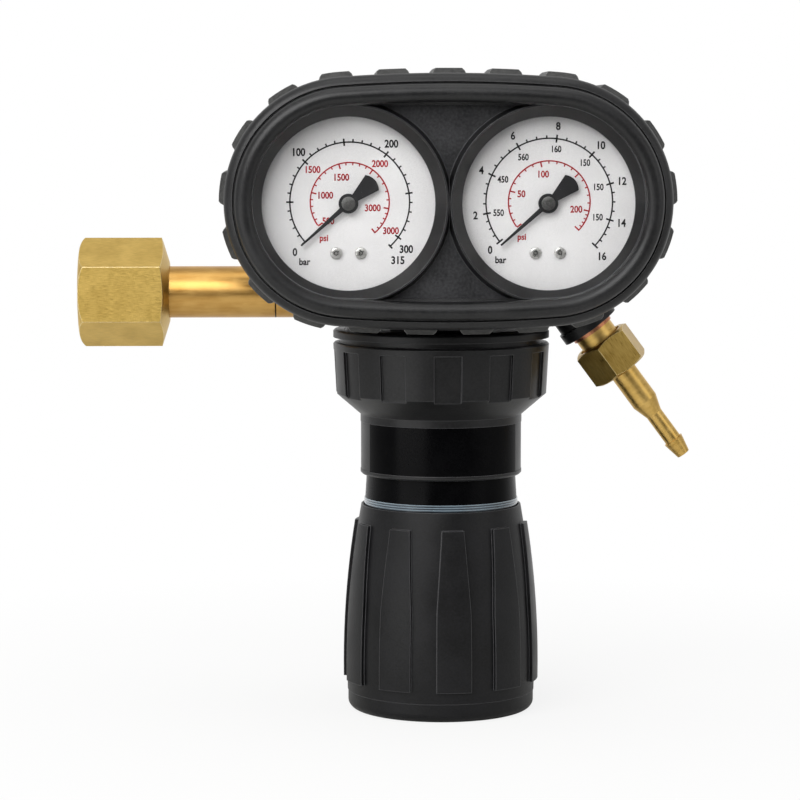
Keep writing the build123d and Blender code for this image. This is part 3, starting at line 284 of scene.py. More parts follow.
# Dull, even black of the seal that shows in the nut's mouth.
inner_rubber = moulded(
    "Nitrile rubber", dark=linear("#161616"), light=linear("#202020"), rough=0.62, grain_mm=0.4,
    bump=0.3, edge=0.2,
)
dress(inner_rubber, "inlet_seal", "diaphragm")

# Brown and rough, with grains a quarter of a millimetre across that can be told apart.
sintered_bronze = metal(
    "Sintered bronze", dark=linear("#5d4526"), light=linear("#8a6a3c"), rough=0.6,
    grain_mm=(0.25, 0.25, 0.25), bump=0.9, edge=0.1,
)
dress(sintered_bronze, "inlet_filter")

# Regulator body and valve cap
# Hot-forged brass, shot blasted to an even matt grain, with bores machined afterwards.
# It carries the bonnet below, the two gauges in front and the outlet on its right.

# Greenish, matt brass with the pimpled skin that the shot leaves.
forged_look = {
    "dark": linear("#86703a"), "light": linear("#a38c4c"), "rough": 0.5,
    "grain_mm": (0.5, 0.5, 0.5), "bump": 0.5, "edge": 0.5,
}
blasted_brass = metal("Forged and blasted brass", **forged_look)
dress(blasted_brass, "valve_cap")

# The inlet neck is turned like the nipple, with a dark groove where the nipple screws in.
# The bowl and the outlet boss are painted black together with the bonnet.
groove_width = 0.45 * mm
neck_length = 18 * mm
body_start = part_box("regulator_body")[0][0]
groove_end = body_start + groove_width
neck_end = body_start + neck_length
paint_top = -4 * mm


def mixed(tree, share, first, second):
    """Second shader where the share is one, first elsewhere."""
    return add(tree, "MixShader", {"Fac": share, 1: first, 2: second}).outputs["Shader"]


body_paint, tree = new_material("Forged brass body with turned neck and black bowl")
body_axes = add(tree, "SeparateXYZ", {"Vector": add(tree, "TexCoord").outputs["Object"]})
along = body_axes.outputs["X"]
is_neck = add(tree, "Math", {0: along, 1: neck_end}, operation="LESS_THAN").outputs[0]
is_groove = add(tree, "Math", {0: along, 1: groove_end}, operation="LESS_THAN").outputs[0]
is_low = add(tree, "Math", {0: body_axes.outputs["Z"], 1: paint_top}, operation="LESS_THAN").outputs[0]
forged = metal_shader(tree, **forged_look)
painted = moulded_shader(
    tree, dark=linear("#0f0f10"), light=linear("#18181a"), rough=0.4, grain_mm=0.5, bump=0.25,
    edge=0.5,
)
turned_neck = metal_shader(tree, **polished_look)
# The body's inlet end is coloured dark brown over the groove's width.
dark_joint_band = metal_shader(
    tree, dark=linear("#2a1f10"), light=linear("#3a2c18"), rough=0.5, grain_mm=(0.5, 0.5, 0.5),
    bump=0.2,
)
upper_or_lower = mixed(tree, is_low, forged, painted)
with_neck = mixed(tree, is_neck, upper_or_lower, turned_neck)
finish_material(body_paint, tree, mixed(tree, is_groove, with_neck, dark_joint_band))
dress(body_paint, "regulator_body")

# Valve, diaphragm and range spring
# Small turned brass and steel parts, a light-alloy plate and oiled spring wire, all shut inside.
# They stand in line on the bonnet's axis.

# Clean yellow brass, a little brighter than the forging.
machined_brass = metal(
    "Machined brass", dark=linear("#ad8a3e"), light=linear("#c9a653"), rough=0.3,
    grain_mm=(0.5, 0.5, 0.5), bump=0.15, edge=0.1,
)
dress(machined_brass, "screw_bush", "valve_seat", "poppet", "stud_nut")

# Cool grey with soft, clear reflections.
bright_steel = metal(
    "Bright drawn steel", dark=linear("#9a9a99"), light=linear("#b9b9b7"), rough=0.28,
    grain_mm=(0.6, 0.6, 0.6), bump=0.12, edge=0.1,
)
dress(bright_steel, "adjusting_screw", "slip_washer", "push_pin", "spring_button")

# Dark grey wire under a film of oil, uneven from one millimetre to the next.
spring_wire = metal(
    "Oiled spring wire", dark=linear("#4a4a4a"), light=linear("#666666"), rough=0.38,
    grain_mm=(0.8, 0.8, 0.8), bump=0.2, edge=0.1,
)
dress(spring_wire, "main_spring", "return_spring")

# Pale grey with fine rings round its rim from the lathe.
light_alloy = metal(
    "Turned light alloy", dark=linear("#a9aaac"), light=linear("#c9cacb"), rough=0.34,
    grain_mm=(40.0, 40.0, 0.5), bump=0.2, edge=0.1,
)
dress(light_alloy, "diaphragm_plate")

# The springs and the diaphragm's roll give way when the button or the valve lifts. Each is copied
# whole here, welded at its seams, smoothed and hung on the regulator in place of its CAD piece.
button_travel = 9.0 * mm
valve_travel = 0.8 * mm
crease_angle = math.radians(35)
spring_plate_z = -25.25 * mm
cap_seat_z = 9.0 * mm
bowl_face_z = -19.0 * mm
for name, joint, travel, held_z, material, slot_name in (
    ("main_spring", "button_lift", button_travel, spring_plate_z, spring_wire, "spring_steel"),
    ("return_spring", "valve_lift", valve_travel, cap_seat_z, spring_wire, "spring_steel"),
    ("diaphragm", "valve_lift", valve_travel, bowl_face_z, inner_rubber, "inner_rubber"),
):
    low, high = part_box(name)
    giving = bpy.data.objects.new(name + "_giving", nodes[name].data.copy())
    giving.matrix_world = nodes[name].matrix_world
    bpy.context.scene.collection.objects.link(giving)
    bpy.ops.object.select_all(action="DESELECT")
    giving.select_set(True)
    bpy.context.view_layer.objects.active = giving
    bpy.ops.object.mode_set(mode="EDIT")
    bpy.ops.mesh.select_all(action="SELECT")
    bpy.ops.mesh.remove_doubles(threshold=weld)
    bpy.ops.object.mode_set(mode="OBJECT")
    bpy.ops.object.shade_smooth_by_angle(angle=crease_angle)
    settle(giving, name + "_giving", material, "regulator")
    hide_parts(name)
    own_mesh(giving)

# Bonnet and collars
# Zinc casting with a ring nut's pockets cast round it, painted satin black.
# The collars on the body and at the outlet are moulded in black nylon.

# Soft grey sheen over black, a faint orange-peel skin and thin painted highlights along the edges.
paint_look = {
    "dark": linear("#0b0b0c"), "light": linear("#1a1a1b"), "rough": 0.36,
    "grain_mm": 0.8, "bump": 0.25, "edge": 0.4,
}
black_paint = moulded("Satin black paint", **paint_look, worn=linear("#505052"))
dress(black_paint, "bonnet")

# The same black a little deeper and duller, with fainter painted highlights on its edges.
black_nylon = moulded(
    "Black moulded nylon", dark=linear("#0b0b0c"), light=linear("#161617"), rough=0.4, grain_mm=0.7,
    bump=0.28, edge=0.4, worn=linear("#3c3c3e"),
)
dress(black_nylon, "body_collar", "outlet_collar")

# Rings below the sleeve
# The label band is a film on the painted sleeve, and the gas ring wears the same smooth film.
# The grey-blue ring below them is polycarbonate over a dark ground, with three painted highlight lines.

# Deep, even black with hardly any sheen, darker than the satin round it.
film_look = {
    "dark": linear("#020203"), "light": linear("#060607"), "rough": 0.25,
    "grain_mm": 0.8, "bump": 0.02, "edge": 0.2, "specular": 0.05,
}
smooth_black = moulded("Smooth black film", **film_look)
dress(smooth_black, "gas_ring")

# The film lies on the front of the sleeve only, so the band's sides and back look painted.
film_reach = 24.7 * mm
band_low, band_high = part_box("label_band")
band_middle = (band_low[0] + band_high[0]) / 2
film_on_sleeve, tree = new_material("Black film on painted sleeve")
band_axes = add(tree, "SeparateXYZ", {"Vector": add(tree, "TexCoord").outputs["Object"]})
across = add(tree, "Math", {0: band_axes.outputs["X"], 1: band_middle}, operation="SUBTRACT")
aside = add(tree, "Math", {0: across.outputs[0]}, operation="ABSOLUTE")
is_aside = add(tree, "Math", {0: aside.outputs[0], 1: film_reach}, operation="GREATER_THAN")
is_behind = add(tree, "Math", {0: band_axes.outputs["Y"], 1: 0.0}, operation="GREATER_THAN")
is_bare = add(tree, "Math", {
    0: is_aside.outputs[0], 1: is_behind.outputs[0],
}, operation="MAXIMUM")
film = moulded_shader(tree, **film_look)
sleeve_paint = moulded_shader(tree, **paint_look)
finish_material(film_on_sleeve, tree, mixed(tree, is_bare.outputs[0], film, sleeve_paint))
dress(film_on_sleeve, "label_band")

# Dark blue-grey depth under a wet gloss, with three painted highlight lines round it.
glint_line_count = 3.0
cloud_size = 6 * mm
clear_blue, tree = new_material("Grey-blue polycarbonate")
ring_low, ring_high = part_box("clear_ring")
ring_place = add(tree, "TexCoord").outputs["Object"]
ring_axes = add(tree, "SeparateXYZ", {"Vector": ring_place})
ring_step = add(tree, "MapRange", {
    "Value": ring_axes.outputs["Z"], "From Min": ring_low[2], "From Max": ring_high[2],
    "To Min": 0.0, "To Max": glint_line_count,
})
ring_share = add(tree, "Math", {0: ring_step.outputs["Result"]}, operation="FRACT")
glint_line_share = add(tree, "MapRange", {
    "Value": ring_share.outputs[0], "From Min": 0.55, "From Max": 0.8, "To Min": 0.0, "To Max": 1.0,
})
depth_cloud = add(tree, "TexNoise", {"Vector": ring_place, "Scale": 1 / cloud_size, "Detail": 2.0})
ring_tint = add(tree, "ValToRGB", {"Fac": depth_cloud.outputs["Fac"]}, stops=[
    (0.35, linear("#252c33")), (0.65, linear("#38434c")),
])
ring_colour = add(tree, "MixRGB", {
    "Fac": glint_line_share.outputs["Result"], "Color1": ring_tint.outputs["Color"],
    "Color2": linear("#7d8c96"),
})
ring_shader = add(tree, "BsdfPrincipled", {
    "Base Color": ring_colour.outputs["Color"], "Roughness": 0.12, "IOR": 1.58, "Coat Weight": 0.4,
})
add(tree, "OutputMaterial", {"Surface": ring_shader.outputs["BSDF"]})
dress(clear_blue, "clear_ring")

# Adjusting knob and its cap
# Glass-filled nylon with a fine spark-eroded grain, ten grip ribs and a cap pushed into its rim.

# Flat black with a fine sparkle in its grain and grey painted highlights along the ribs.
knob_nylon = moulded(
    "Spark-eroded black nylon", dark=linear("#070708"), light=linear("#131315"), rough=0.4,
    grain_mm=0.7, bump=0.35, edge=0.45, specular=0.24, worn=linear("#565658"),
)
dress(knob_nylon, "knob", "knob_cap")

# Bumper
# Soft black rubber moulded in one piece, paler on its tread blocks.
# It is pushed over the gauge panel from the front.

# The rim is smooth and dark. The treads behind it are greyer and coarser, with painted edge highlights.
rim_depth = 7.4 * mm
tread_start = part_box("bumper")[0][1] + rim_depth
bumper_rubber, tree = new_material("Black rubber with paler treads")
depth_axis = add(tree, "SeparateXYZ", {"Vector": add(tree, "TexCoord").outputs["Object"]}).outputs["Y"]
is_tread = add(tree, "Math", {0: depth_axis, 1: tread_start}, operation="GREATER_THAN").outputs[0]
rim = moulded_shader(
    tree, dark=linear("#0e0e0f"), light=linear("#1d1d1e"), rough=0.38, grain_mm=0.8, bump=0.45,
    edge=0.6, specular=0.38, worn=linear("#626263"),
)
treads = moulded_shader(
    tree, dark=linear("#1b1b1b"), light=linear("#3b3b3a"), rough=0.5, grain_mm=1.2, bump=0.6,
    edge=0.6, specular=0.4, worn=linear("#8c8c89"),
)
finish_material(bumper_rubber, tree, mixed(tree, is_tread, rim, treads))
dress(bumper_rubber, "bumper")

# Gauge panel
# Black ABS with an even matt grain, and smoother dial rings.
# It sits in the bumper and has a round opening for each dial.
gauges = ("inlet_gauge", "outlet_gauge")

# Grey pebbled plastic between the dials, and darker, silkier rings with a thin painted highlight.
ring_face = 4.4 * mm
panel_abs, tree = new_material("Black ABS, grained between smooth dial rings")
panel_place = add(tree, "TexCoord").outputs["Object"]
flat = add(tree, "VectorMath", {0: panel_place, 1: (1, 0, 1)}, operation="MULTIPLY").outputs["Vector"]
ring_shares = []
for gauge in gauges:
    dial_low, dial_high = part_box(gauge + "_dial")
    centre = ((dial_low[0] + dial_high[0]) / 2, 0, (dial_low[2] + dial_high[2]) / 2)
    away = add(tree, "VectorMath", {0: flat, 1: centre}, operation="DISTANCE").outputs["Value"]
    ring_edge = (dial_high[0] - dial_low[0]) / 2 + ring_face
    ring_shares.append(add(tree, "Math", {0: away, 1: ring_edge}, operation="LESS_THAN").outputs[0])
is_ring = add(tree, "Math", {0: ring_shares[0], 1: ring_shares[1]}, operation="MAXIMUM")
grained = moulded_shader(
    tree, dark=linear("#18181a"), light=linear("#343436"), rough=0.45, grain_mm=1.0, bump=0.9,
    edge=0.35, worn=linear("#5c5c5e"),
)
smooth = moulded_shader(
    tree, dark=linear("#080809"), light=linear("#121213"), rough=0.32, grain_mm=0.8, bump=0.1,
    edge=0.4, worn=linear("#6a6a6c"),
)
finish_material(panel_abs, tree, mixed(tree, is_ring.outputs[0], grained, smooth))
dress(panel_abs, "gauge_panel")

# Gauge cases and works
# Drawn steel cups, enamelled black outside, with brass sockets, tubes and gears in them.

# Smooth black with a clear but soft reflection, seen on the backs of the cases.
case_enamel = moulded(
    "Black enamelled steel", dark=linear("#101010"), light=linear("#171717"), rough=0.3,
    grain_mm=0.9, bump=0.06, edge=0.3,
)
works = ("socket", "bourdon_tube", "movement_frame", "sector_gear", "pinion", "link")
for gauge in gauges:
    dress(case_enamel, gauge + "_case")
    dress(machined_brass, *[gauge + "_" + part for part in works])

# Dials
# Aluminium discs with white enamel, printed with black and red scales, and held by two screws.

# Soft, slightly grey white with little shine, a step darker than the background.
dial_white = moulded(
    "White enamel", dark=linear("#cdcccc"), light=linear("#d6d5d5"), rough=0.45, grain_mm=0.7,
    bump=0.03, edge=0.1, specular=0.3,
)
for gauge in gauges:
    dress(dial_white, gauge + "_dial")

# Flat, crisp lines and figures with little shine.
black_ink = moulded(
    "Black printing ink", dark=linear("#0a0a0c"), light=linear("#101012"), rough=0.5, grain_mm=0.3,
    bump=0.05, edge=0.02,
)
red_ink = moulded(
    "Red printing ink", dark=linear("#930812"), light=linear("#a60e1a"), rough=0.5, grain_mm=0.3,
    bump=0.05, edge=0.02,
)

# The printing sits a little to the right of the dial's centre and above it, as on the real dials.
print_shift = 0.45 * mm
print_gap = 0.004 * mm
ink_height = 0.03 * mm
capital_share = 0.72
stroke_swell = 0.03
arc_steps = 72


def printed_word(word, height, x, y, narrow):
    """Flat word of a capital height, centred on a place on the dial, in millimetres."""
    bpy.ops.object.text_add()
    letters = bpy.context.object
    letters.data.body = word
    letters.data.offset = stroke_swell
    letters.data.resolution_u = 4
    letters.data.align_x = "CENTER"
    letters.data.align_y = "CENTER"
    bpy.ops.object.convert(target="MESH")
    letters = bpy.context.object
    letters.scale = (narrow * height * mm / capital_share, height * mm / capital_share, 1)
    letters.location = (x * mm, y * mm, 0)
    bpy.ops.object.transform_apply(location=True, rotation=True, scale=True)
    return letters


def printed_words(height, narrow, placed):
    """Words of one size, each with its place."""
    return [printed_word(word, height, x, y, narrow) for word, x, y in placed]


def printed_tick(angle, inner, outer, width):
    """Short radial line between two radii, in millimetres."""
    bpy.ops.mesh.primitive_plane_add(size=mm)
    tick = bpy.context.object
    middle = (inner + outer) / 2 * mm
    tick.scale = (outer - inner, width, 1)
    tick.rotation_euler.z = math.radians(angle)
    turned = tick.rotation_euler.z
    tick.location = (middle * math.cos(turned), middle * math.sin(turned), 0)
    bpy.ops.object.transform_apply(location=True, rotation=True, scale=True)
    return tick


def printed_arc(radius, width, start, end):
    """Band round the dial's centre, clockwise from start to end in degrees."""
    bpy.ops.mesh.primitive_plane_add(size=width * mm, location=(radius * mm, 0, 0))
    arc = bpy.context.object
    bpy.ops.object.transform_apply(location=True, rotation=True, scale=True)
    bpy.ops.object.mode_set(mode="EDIT")
    mesh = bmesh.from_edit_mesh(arc.data)
    for vert in mesh.verts:
        vert.select = vert.co.y > 0
    mesh.select_flush_mode()
    bpy.ops.mesh.delete(type="VERT")
    bpy.ops.mesh.select_all(action="SELECT")
    bpy.ops.mesh.spin(
        steps=arc_steps, angle=math.radians(start - end), center=(0, 0, 0), axis=(0, 0, 1)
    )
    bpy.ops.mesh.select_all(action="SELECT")
    bpy.ops.mesh.normals_make_consistent(inside=False)
    bpy.ops.object.mode_set(mode="OBJECT")
    highest = max(vert.co.y for vert in arc.data.vertices)
    lowest = min(vert.co.y for vert in arc.data.vertices)
    arc.rotation_euler.z = math.radians(end if highest > -lowest else start)
    bpy.ops.object.transform_apply(location=True, rotation=True, scale=True)
    return arc


def printed_scale(radius, arc_width, marks, split, tick_in, tick_out, small_in, small_out, tick_width):
    """Arc with long ticks at the marks and short ones between them."""
    small_width = tick_width * 0.85
    made = [printed_arc(radius, arc_width, marks[0], marks[-1])]
    for angle in marks:
        made.append(printed_tick(angle, radius - tick_in, radius + tick_out, tick_width))
    for first, second in zip(marks, marks[1:]):
        for i in range(1, split):
            angle = first + (second - first) * i / split
            made.append(printed_tick(angle, radius - small_in, radius + small_out, small_width))
    return made


def print_on(gauge, colour_name, pieces, ink):
    """Joins flat pieces, gives them an ink's thickness and lays them on a dial."""
    low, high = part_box(gauge + "_dial")
    bpy.ops.object.select_all(action="DESELECT")
    for piece in pieces:
        piece.select_set(True)
    bpy.context.view_layer.objects.active = pieces[0]
    bpy.ops.object.join()
    scale = bpy.context.object
    bpy.ops.object.mode_set(mode="EDIT")
    mesh = bmesh.from_edit_mesh(scale.data)
    for face in mesh.faces:
        if face.normal.z < 0:
            face.normal_flip()
    bmesh.update_edit_mesh(scale.data)
    bpy.ops.object.mode_set(mode="OBJECT")
    layer = scale.modifiers.new("Layer", "SOLIDIFY")
    layer.thickness = ink_height
    layer.offset = 1
    bpy.ops.object.modifier_apply(modifier="Layer")
    scale.rotation_euler.x = math.radians(90)
    scale.location = (
        (low[0] + high[0]) / 2 + print_shift,
        low[1] - print_gap,
        (low[2] + high[2]) / 2 + print_shift,
    )
    return settle(scale, gauge + "_" + colour_name + "_scale", ink, "regulator")


# Left dial. Angles are in degrees, everything else in millimetres.
bpy.ops.object.select_all(action="DESELECT")
bar_radius = 19.4
bar_arc = 0.5
bar_tick = 0.58
inlet_marks = [221.5, 180.0, 138.0, 95.5, 52.5, 8.5, -36.0, -47.5]
black = printed_scale(
    radius=bar_radius, arc_width=bar_arc, marks=inlet_marks[:-1], split=5,
    tick_in=1.2, tick_out=1.2, small_in=0.0, small_out=1.0, tick_width=bar_tick,
)
black.append(printed_arc(bar_radius, bar_arc, inlet_marks[-2], inlet_marks[-1]))
black.append(printed_tick(inlet_marks[-1], inner=18.6, outer=20.4, width=bar_tick))
black += printed_words(height=2.5, narrow=0.86, placed=[
    ("0", -17.8, -16.3), ("100", -16.6, 16.0), ("200", 13.5, 18.7), ("300", 18.3, -15.4),
    ("315", 15.6, -19.0),
])
black += printed_words(height=2.2, narrow=0.9, placed=[("bar", -14.7, -19.4)])
print_on("inlet_gauge", "black", black, black_ink)
red = printed_scale(
    radius=12.8, arc_width=0.46, marks=[217.0, 166.0, 106.0, 54.5, -9.5, -50.5], split=5,
    tick_in=1.7, tick_out=0.0, small_in=0.9, small_out=0.0, tick_width=0.5,
)
red += printed_words(height=2.2, narrow=0.86, placed=[
    ("1500", -12.1, 10.4), ("1500", -2.8, 7.9), ("1000", -8.0, 2.1), ("2000", 9.8, 12.3),
    ("3000", 7.4, -2.0), ("3000", 13.3, -9.4), ("500", -7.0, -6.2),
])
red += printed_words(height=2.1, narrow=0.9, placed=[("psi", -8.4, -11.7)])
print_on("inlet_gauge", "red", red, red_ink)

# Right dial, with a second ring of small black figures.
black = printed_scale(
    radius=20.6, arc_width=bar_arc,
    marks=[218.6, 190.5, 155.0, 119.5, 83.5, 48.0, 16.5, -16.5, -43.5], split=4,
    tick_in=1.3, tick_out=1.3, small_in=0.0, small_out=0.95, tick_width=bar_tick,
)
black += printed_words(height=2.5, narrow=0.86, placed=[
    ("0", -19.2, -15.7), ("2", -24.0, -4.5), ("4", -22.1, 10.1), ("6", -11.9, 21.3),
    ("8", 2.8, 24.4), ("10", 16.6, 18.2), ("12", 23.6, 6.6), ("14", 23.5, -7.0),
    ("16", 17.2, -17.8),
])
black += printed_words(height=2.1, narrow=0.8, placed=[
    ("560", -8.5, 14.4), ("160", 2.1, 17.0), ("150", 11.5, 12.6), ("150", 15.9, 4.7),
    ("150", 15.7, -5.1), ("450", -15.1, 7.2), ("550", -16.5, -3.6),
])
black += printed_words(height=2.2, narrow=0.9, placed=[("bar", -15.8, -18.9)])
print_on("outlet_gauge", "black", black, black_ink)
red = printed_scale(
    radius=13.3, arc_width=0.46, marks=[218.0, 164.5, 102.5, 44.0, -13.0, -43.5], split=5,
    tick_in=1.8, tick_out=0.0, small_in=0.9, small_out=0.0, tick_width=0.5,
)
red += printed_words(height=2.2, narrow=0.86, placed=[
    ("50", -9.1, 2.5), ("100", -2.1, 8.9), ("200", 8.8, -2.5),
])
red += printed_words(height=2.1, narrow=0.9, placed=[("psi", -8.9, -11.4)])
print_on("outlet_gauge", "red", red, red_ink)

# Dial screws
# Two nickel-plated pan heads hold each dial on the posts of its movement.
# Their recesses are pressed hexagons.
screw_radius = 1.95 * mm
screw_height = 1.0 * mm
screw_round = 0.62 * mm
recess_radius = 0.85 * mm
recess_depth = 0.85 * mm
screw_spacing = 4.0 * mm
screw_drop = 16.1 * mm

# Bright silver dots, with painted shade darkening their recesses.
nickel_plate = metal(
    "Nickel-plated steel", dark=linear("#c9c8c4"), light=linear("#e6e5e2"), rough=0.3,
    grain_mm=(0.8, 0.8, 0.8), bump=0.08, edge=0.05, pit_mm=0.8,
)


def round_top(disc, width, segments):
    """Rounds a disc's upper rim and leaves the disc in edit mode."""
    bpy.ops.object.mode_set(mode="EDIT")
    mesh = bmesh.from_edit_mesh(disc.data)
    for edge in mesh.edges:
        edge.select = all(vert.co.z > 0 for vert in edge.verts)
    mesh.select_flush(True)
    bpy.ops.mesh.bevel(offset=width, segments=segments, profile=0.5)


def faced_copy(piece, place):
    """Copy of a disc that faces the dial's front, in place."""
    made = piece.copy()
    made.data = piece.data.copy()
    bpy.context.scene.collection.objects.link(made)
    made.rotation_euler = (math.radians(90), 0, 0)
    made.location = place
    return made


bpy.ops.object.select_all(action="DESELECT")
bpy.ops.mesh.primitive_cylinder_add(vertices=40, radius=screw_radius, depth=screw_height)
pan_head = bpy.context.object
round_top(pan_head, screw_round, segments=5)
bpy.ops.object.mode_set(mode="OBJECT")
bpy.ops.mesh.primitive_cylinder_add(
    vertices=6, radius=recess_radius, depth=recess_depth * 2, location=(0, 0, screw_height / 2)
)
cutter = bpy.context.object
bpy.ops.object.select_all(action="DESELECT")
pan_head.select_set(True)
bpy.context.view_layer.objects.active = pan_head
recess = pan_head.modifiers.new("Recess", "BOOLEAN")
recess.operation = "DIFFERENCE"
recess.object = cutter
bpy.ops.object.modifier_apply(modifier="Recess")
bpy.data.objects.remove(cutter)
bpy.ops.object.shade_smooth_by_angle(angle=crease_angle)
for gauge in gauges:
    low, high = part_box(gauge + "_dial")
    for side, side_name in ((-1, "left"), (1, "right")):
        screw = faced_copy(pan_head, (
            (low[0] + high[0]) / 2 + side * screw_spacing,
            low[1] - screw_height / 2,
            (low[2] + high[2]) / 2 - screw_drop,
        ))
        settle(screw, gauge + "_dial_screw_" + side_name, nickel_plate, "regulator")
bpy.data.objects.remove(pan_head)

# Pointers
# Stamped aluminium, sprayed matt black, pressed on the pinion's shaft under a bright boss.

# Dull black that keeps its edges sharp against the white dial.
pointer_black = moulded(
    "Matt black enamel", dark=linear("#141416"), light=linear("#1b1b1d"), rough=0.48, grain_mm=0.4,
    bump=0.1, edge=0.1,
)

# Mid-grey metal with a groove round its raised middle, darkened by painted shade.
boss_grey = metal(
    "Turned grey boss", dark=linear("#5c5c5b"), light=linear("#7a7a78"), rough=0.36,
    grain_mm=(0.4, 0.4, 0.4), bump=0.15, edge=0.04, pit_mm=0.3,
)
boss_radius = 2.25 * mm
boss_height = 0.3 * mm
boss_round = 0.14 * mm
boss_overlap = 0.02 * mm

# Steps inwards and upwards: a flat rim, the groove's wall and floor, and the raised middle.
boss_steps_mm = ((1.25, 0.0), (0.12, -0.12), (0.18, 0.0), (0.08, 0.14))
bpy.ops.object.select_all(action="DESELECT")
bpy.ops.mesh.primitive_cylinder_add(vertices=56, radius=boss_radius, depth=boss_height)
boss = bpy.context.object
round_top(boss, boss_round, segments=3)
for inwards, upwards in boss_steps_mm:
    mesh = bmesh.from_edit_mesh(boss.data)
    top = max(mesh.faces, key=lambda face: (round(face.normal.z, 3), -face.calc_center_median().length))
    for face in mesh.faces:
        face.select = False
    top.select = True
    bpy.ops.mesh.inset(thickness=inwards * mm, depth=upwards * mm)
bpy.ops.object.mode_set(mode="OBJECT")
bpy.ops.object.shade_smooth_by_angle(angle=crease_angle)
for gauge in gauges:
    dress(pointer_black, gauge + "_pointer")
    dial_low, dial_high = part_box(gauge + "_dial")
    low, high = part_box(gauge + "_pointer")
    boss_copy = faced_copy(boss, (
        (dial_low[0] + dial_high[0]) / 2,
        low[1] - boss_height / 2 + boss_overlap,
        (dial_low[2] + dial_high[2]) / 2,
    ))
    settle(boss_copy, gauge + "_pointer_boss", boss_grey, gauge.split("_")[0] + "_pointer")
bpy.data.objects.remove(boss)

# Windows
# Clear polycarbonate discs, thin enough that lamps shine through them onto the dials.
# They hardly show to the eye, with a faint sheen where the room is mirrored in them.
window_clear, tree = new_material("Clear polycarbonate")
smear = add(tree, "TexNoise", {
    "Vector": add(tree, "TexCoord").outputs["Object"], "Scale": 1 / (20 * mm), "Detail": 2.0,
})
gloss = add(tree, "MapRange", {"Value": smear.outputs["Fac"], "To Min": 0.0, "To Max": 0.01})
glass = add(tree, "BsdfPrincipled", {
    "Base Color": linear("#fdfdfd"), "Roughness": gloss.outputs["Result"], "IOR": 1.45,
    "Transmission Weight": 1.0,
})
through = add(tree, "BsdfTransparent", {"Color": linear("#f8f8f8")})
path = add(tree, "LightPath")
pane = add(tree, "MixShader", {
    "Fac": path.outputs["Is Shadow Ray"], 1: glass.outputs["BSDF"], 2: through.outputs["BSDF"],
})
add(tree, "OutputMaterial", {"Surface": pane.outputs["Shader"]})
dress(window_clear, "inlet_gauge_window", "outlet_gauge_window")

# Outlet
# Copper washer, turned adapter, union nut from hexagon bar and a turned hose tail.
# Their grain follows the outlet's own axis, which leans 36.5 degrees from straight down.
outlet_turn = (0, math.radians(36.5), 0)

# Soft salmon pink between the brass and the black collar.
copper = metal(
    "Annealed copper", dark=linear("#a5694a"), light=linear("#c98a68"), rough=0.32,
    grain_mm=(0.5, 0.5, 0.5), bump=0.15, edge=0.15,
)
dress(copper, "copper_washer")

# Pale, clean yellow with smooth, bright streaks down the tail.
outlet_brass = metal(
    "Turned outlet brass", dark=linear("#c39e54"), light=linear("#dfba6e"), rough=0.34,
    grain_mm=(3.0, 3.0, 1.2), bump=0.01, turn=outlet_turn, edge=0.02,
)
dress(outlet_brass, "hose_tail", "outlet_adapter")

# Deeper, browner yellow with strokes along the bar and painted highlights where the flats meet.
outlet_hexagon = metal(
    "Hexagon bar brass", dark=linear("#a08240"), light=linear("#c3a45b"), rough=0.34,
    grain_mm=(0.32, 0.32, 2.6), bump=0.25, turn=outlet_turn, edge=0.25, worn=linear("#ffeeb4"),
)
dress(outlet_hexagon, "outlet_nut")

# Stage
# Pale floor under the knob that turns to plain white away from the object.
# It keeps the object's soft shadow and shows white in metal and glass only where it lies behind.
floor_size = 0.96
knob_low, knob_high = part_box("knob_cap")
bpy.ops.object.select_all(action="DESELECT")
bpy.ops.mesh.primitive_plane_add(
    size=floor_size, location=((knob_low[0] + knob_high[0]) / 2, 0, knob_low[2])
)
floor = bpy.context.object
floor.name = "floor"


def white_seen(tree, behind):
    """One to the camera, and to metal and glass the share by which the place lies behind."""
    rays = add(tree, "LightPath")
    mirrored = add(tree, "Math", {
        0: rays.outputs["Is Glossy Ray"], 1: rays.outputs["Is Transmission Ray"],
    }, operation="ADD", use_clamp=True)
    mirrored_behind = add(tree, "Math", {0: mirrored.outputs[0], 1: behind}, operation="MULTIPLY")
    seen = add(tree, "Math", {
        0: rays.outputs["Is Camera Ray"], 1: mirrored_behind.outputs[0],
    }, operation="ADD", use_clamp=True)
    return seen.outputs[0]


floor_white, tree = new_material("White floor")
floor_place = add(tree, "TexCoord").outputs["Object"]
floor_depth = add(tree, "SeparateXYZ", {"Vector": floor_place}).outputs["Y"]
behind = add(tree, "MapRange", {"Value": floor_depth, "From Min": 0.1, "From Max": 0.4})
distance = add(tree, "VectorMath", {0: floor_place}, operation="LENGTH")
whiteness = add(tree, "MapRange", {
    "Value": distance.outputs["Value"], "From Min": 0.05, "From Max": 0.3,
    "To Min": 0.84, "To Max": 1.0,
})
white_share = add(tree, "Math", {
    0: white_seen(tree, behind.outputs["Result"]), 1: whiteness.outputs["Result"],
}, operation="MULTIPLY")
floor_paint = add(tree, "BsdfDiffuse", {"Color": linear("#dcdcda")})
floor_glow = add(tree, "Emission", {"Color": (1, 1, 1, 1), "Strength": 1.0})
floor_mix = add(tree, "MixShader", {
    "Fac": white_share.outputs[0], 1: floor_paint.outputs["BSDF"], 2: floor_glow.outputs["Emission"],
})
add(tree, "OutputMaterial", {"Surface": floor_mix.outputs["Shader"]})
floor.data.materials.append(floor_white)

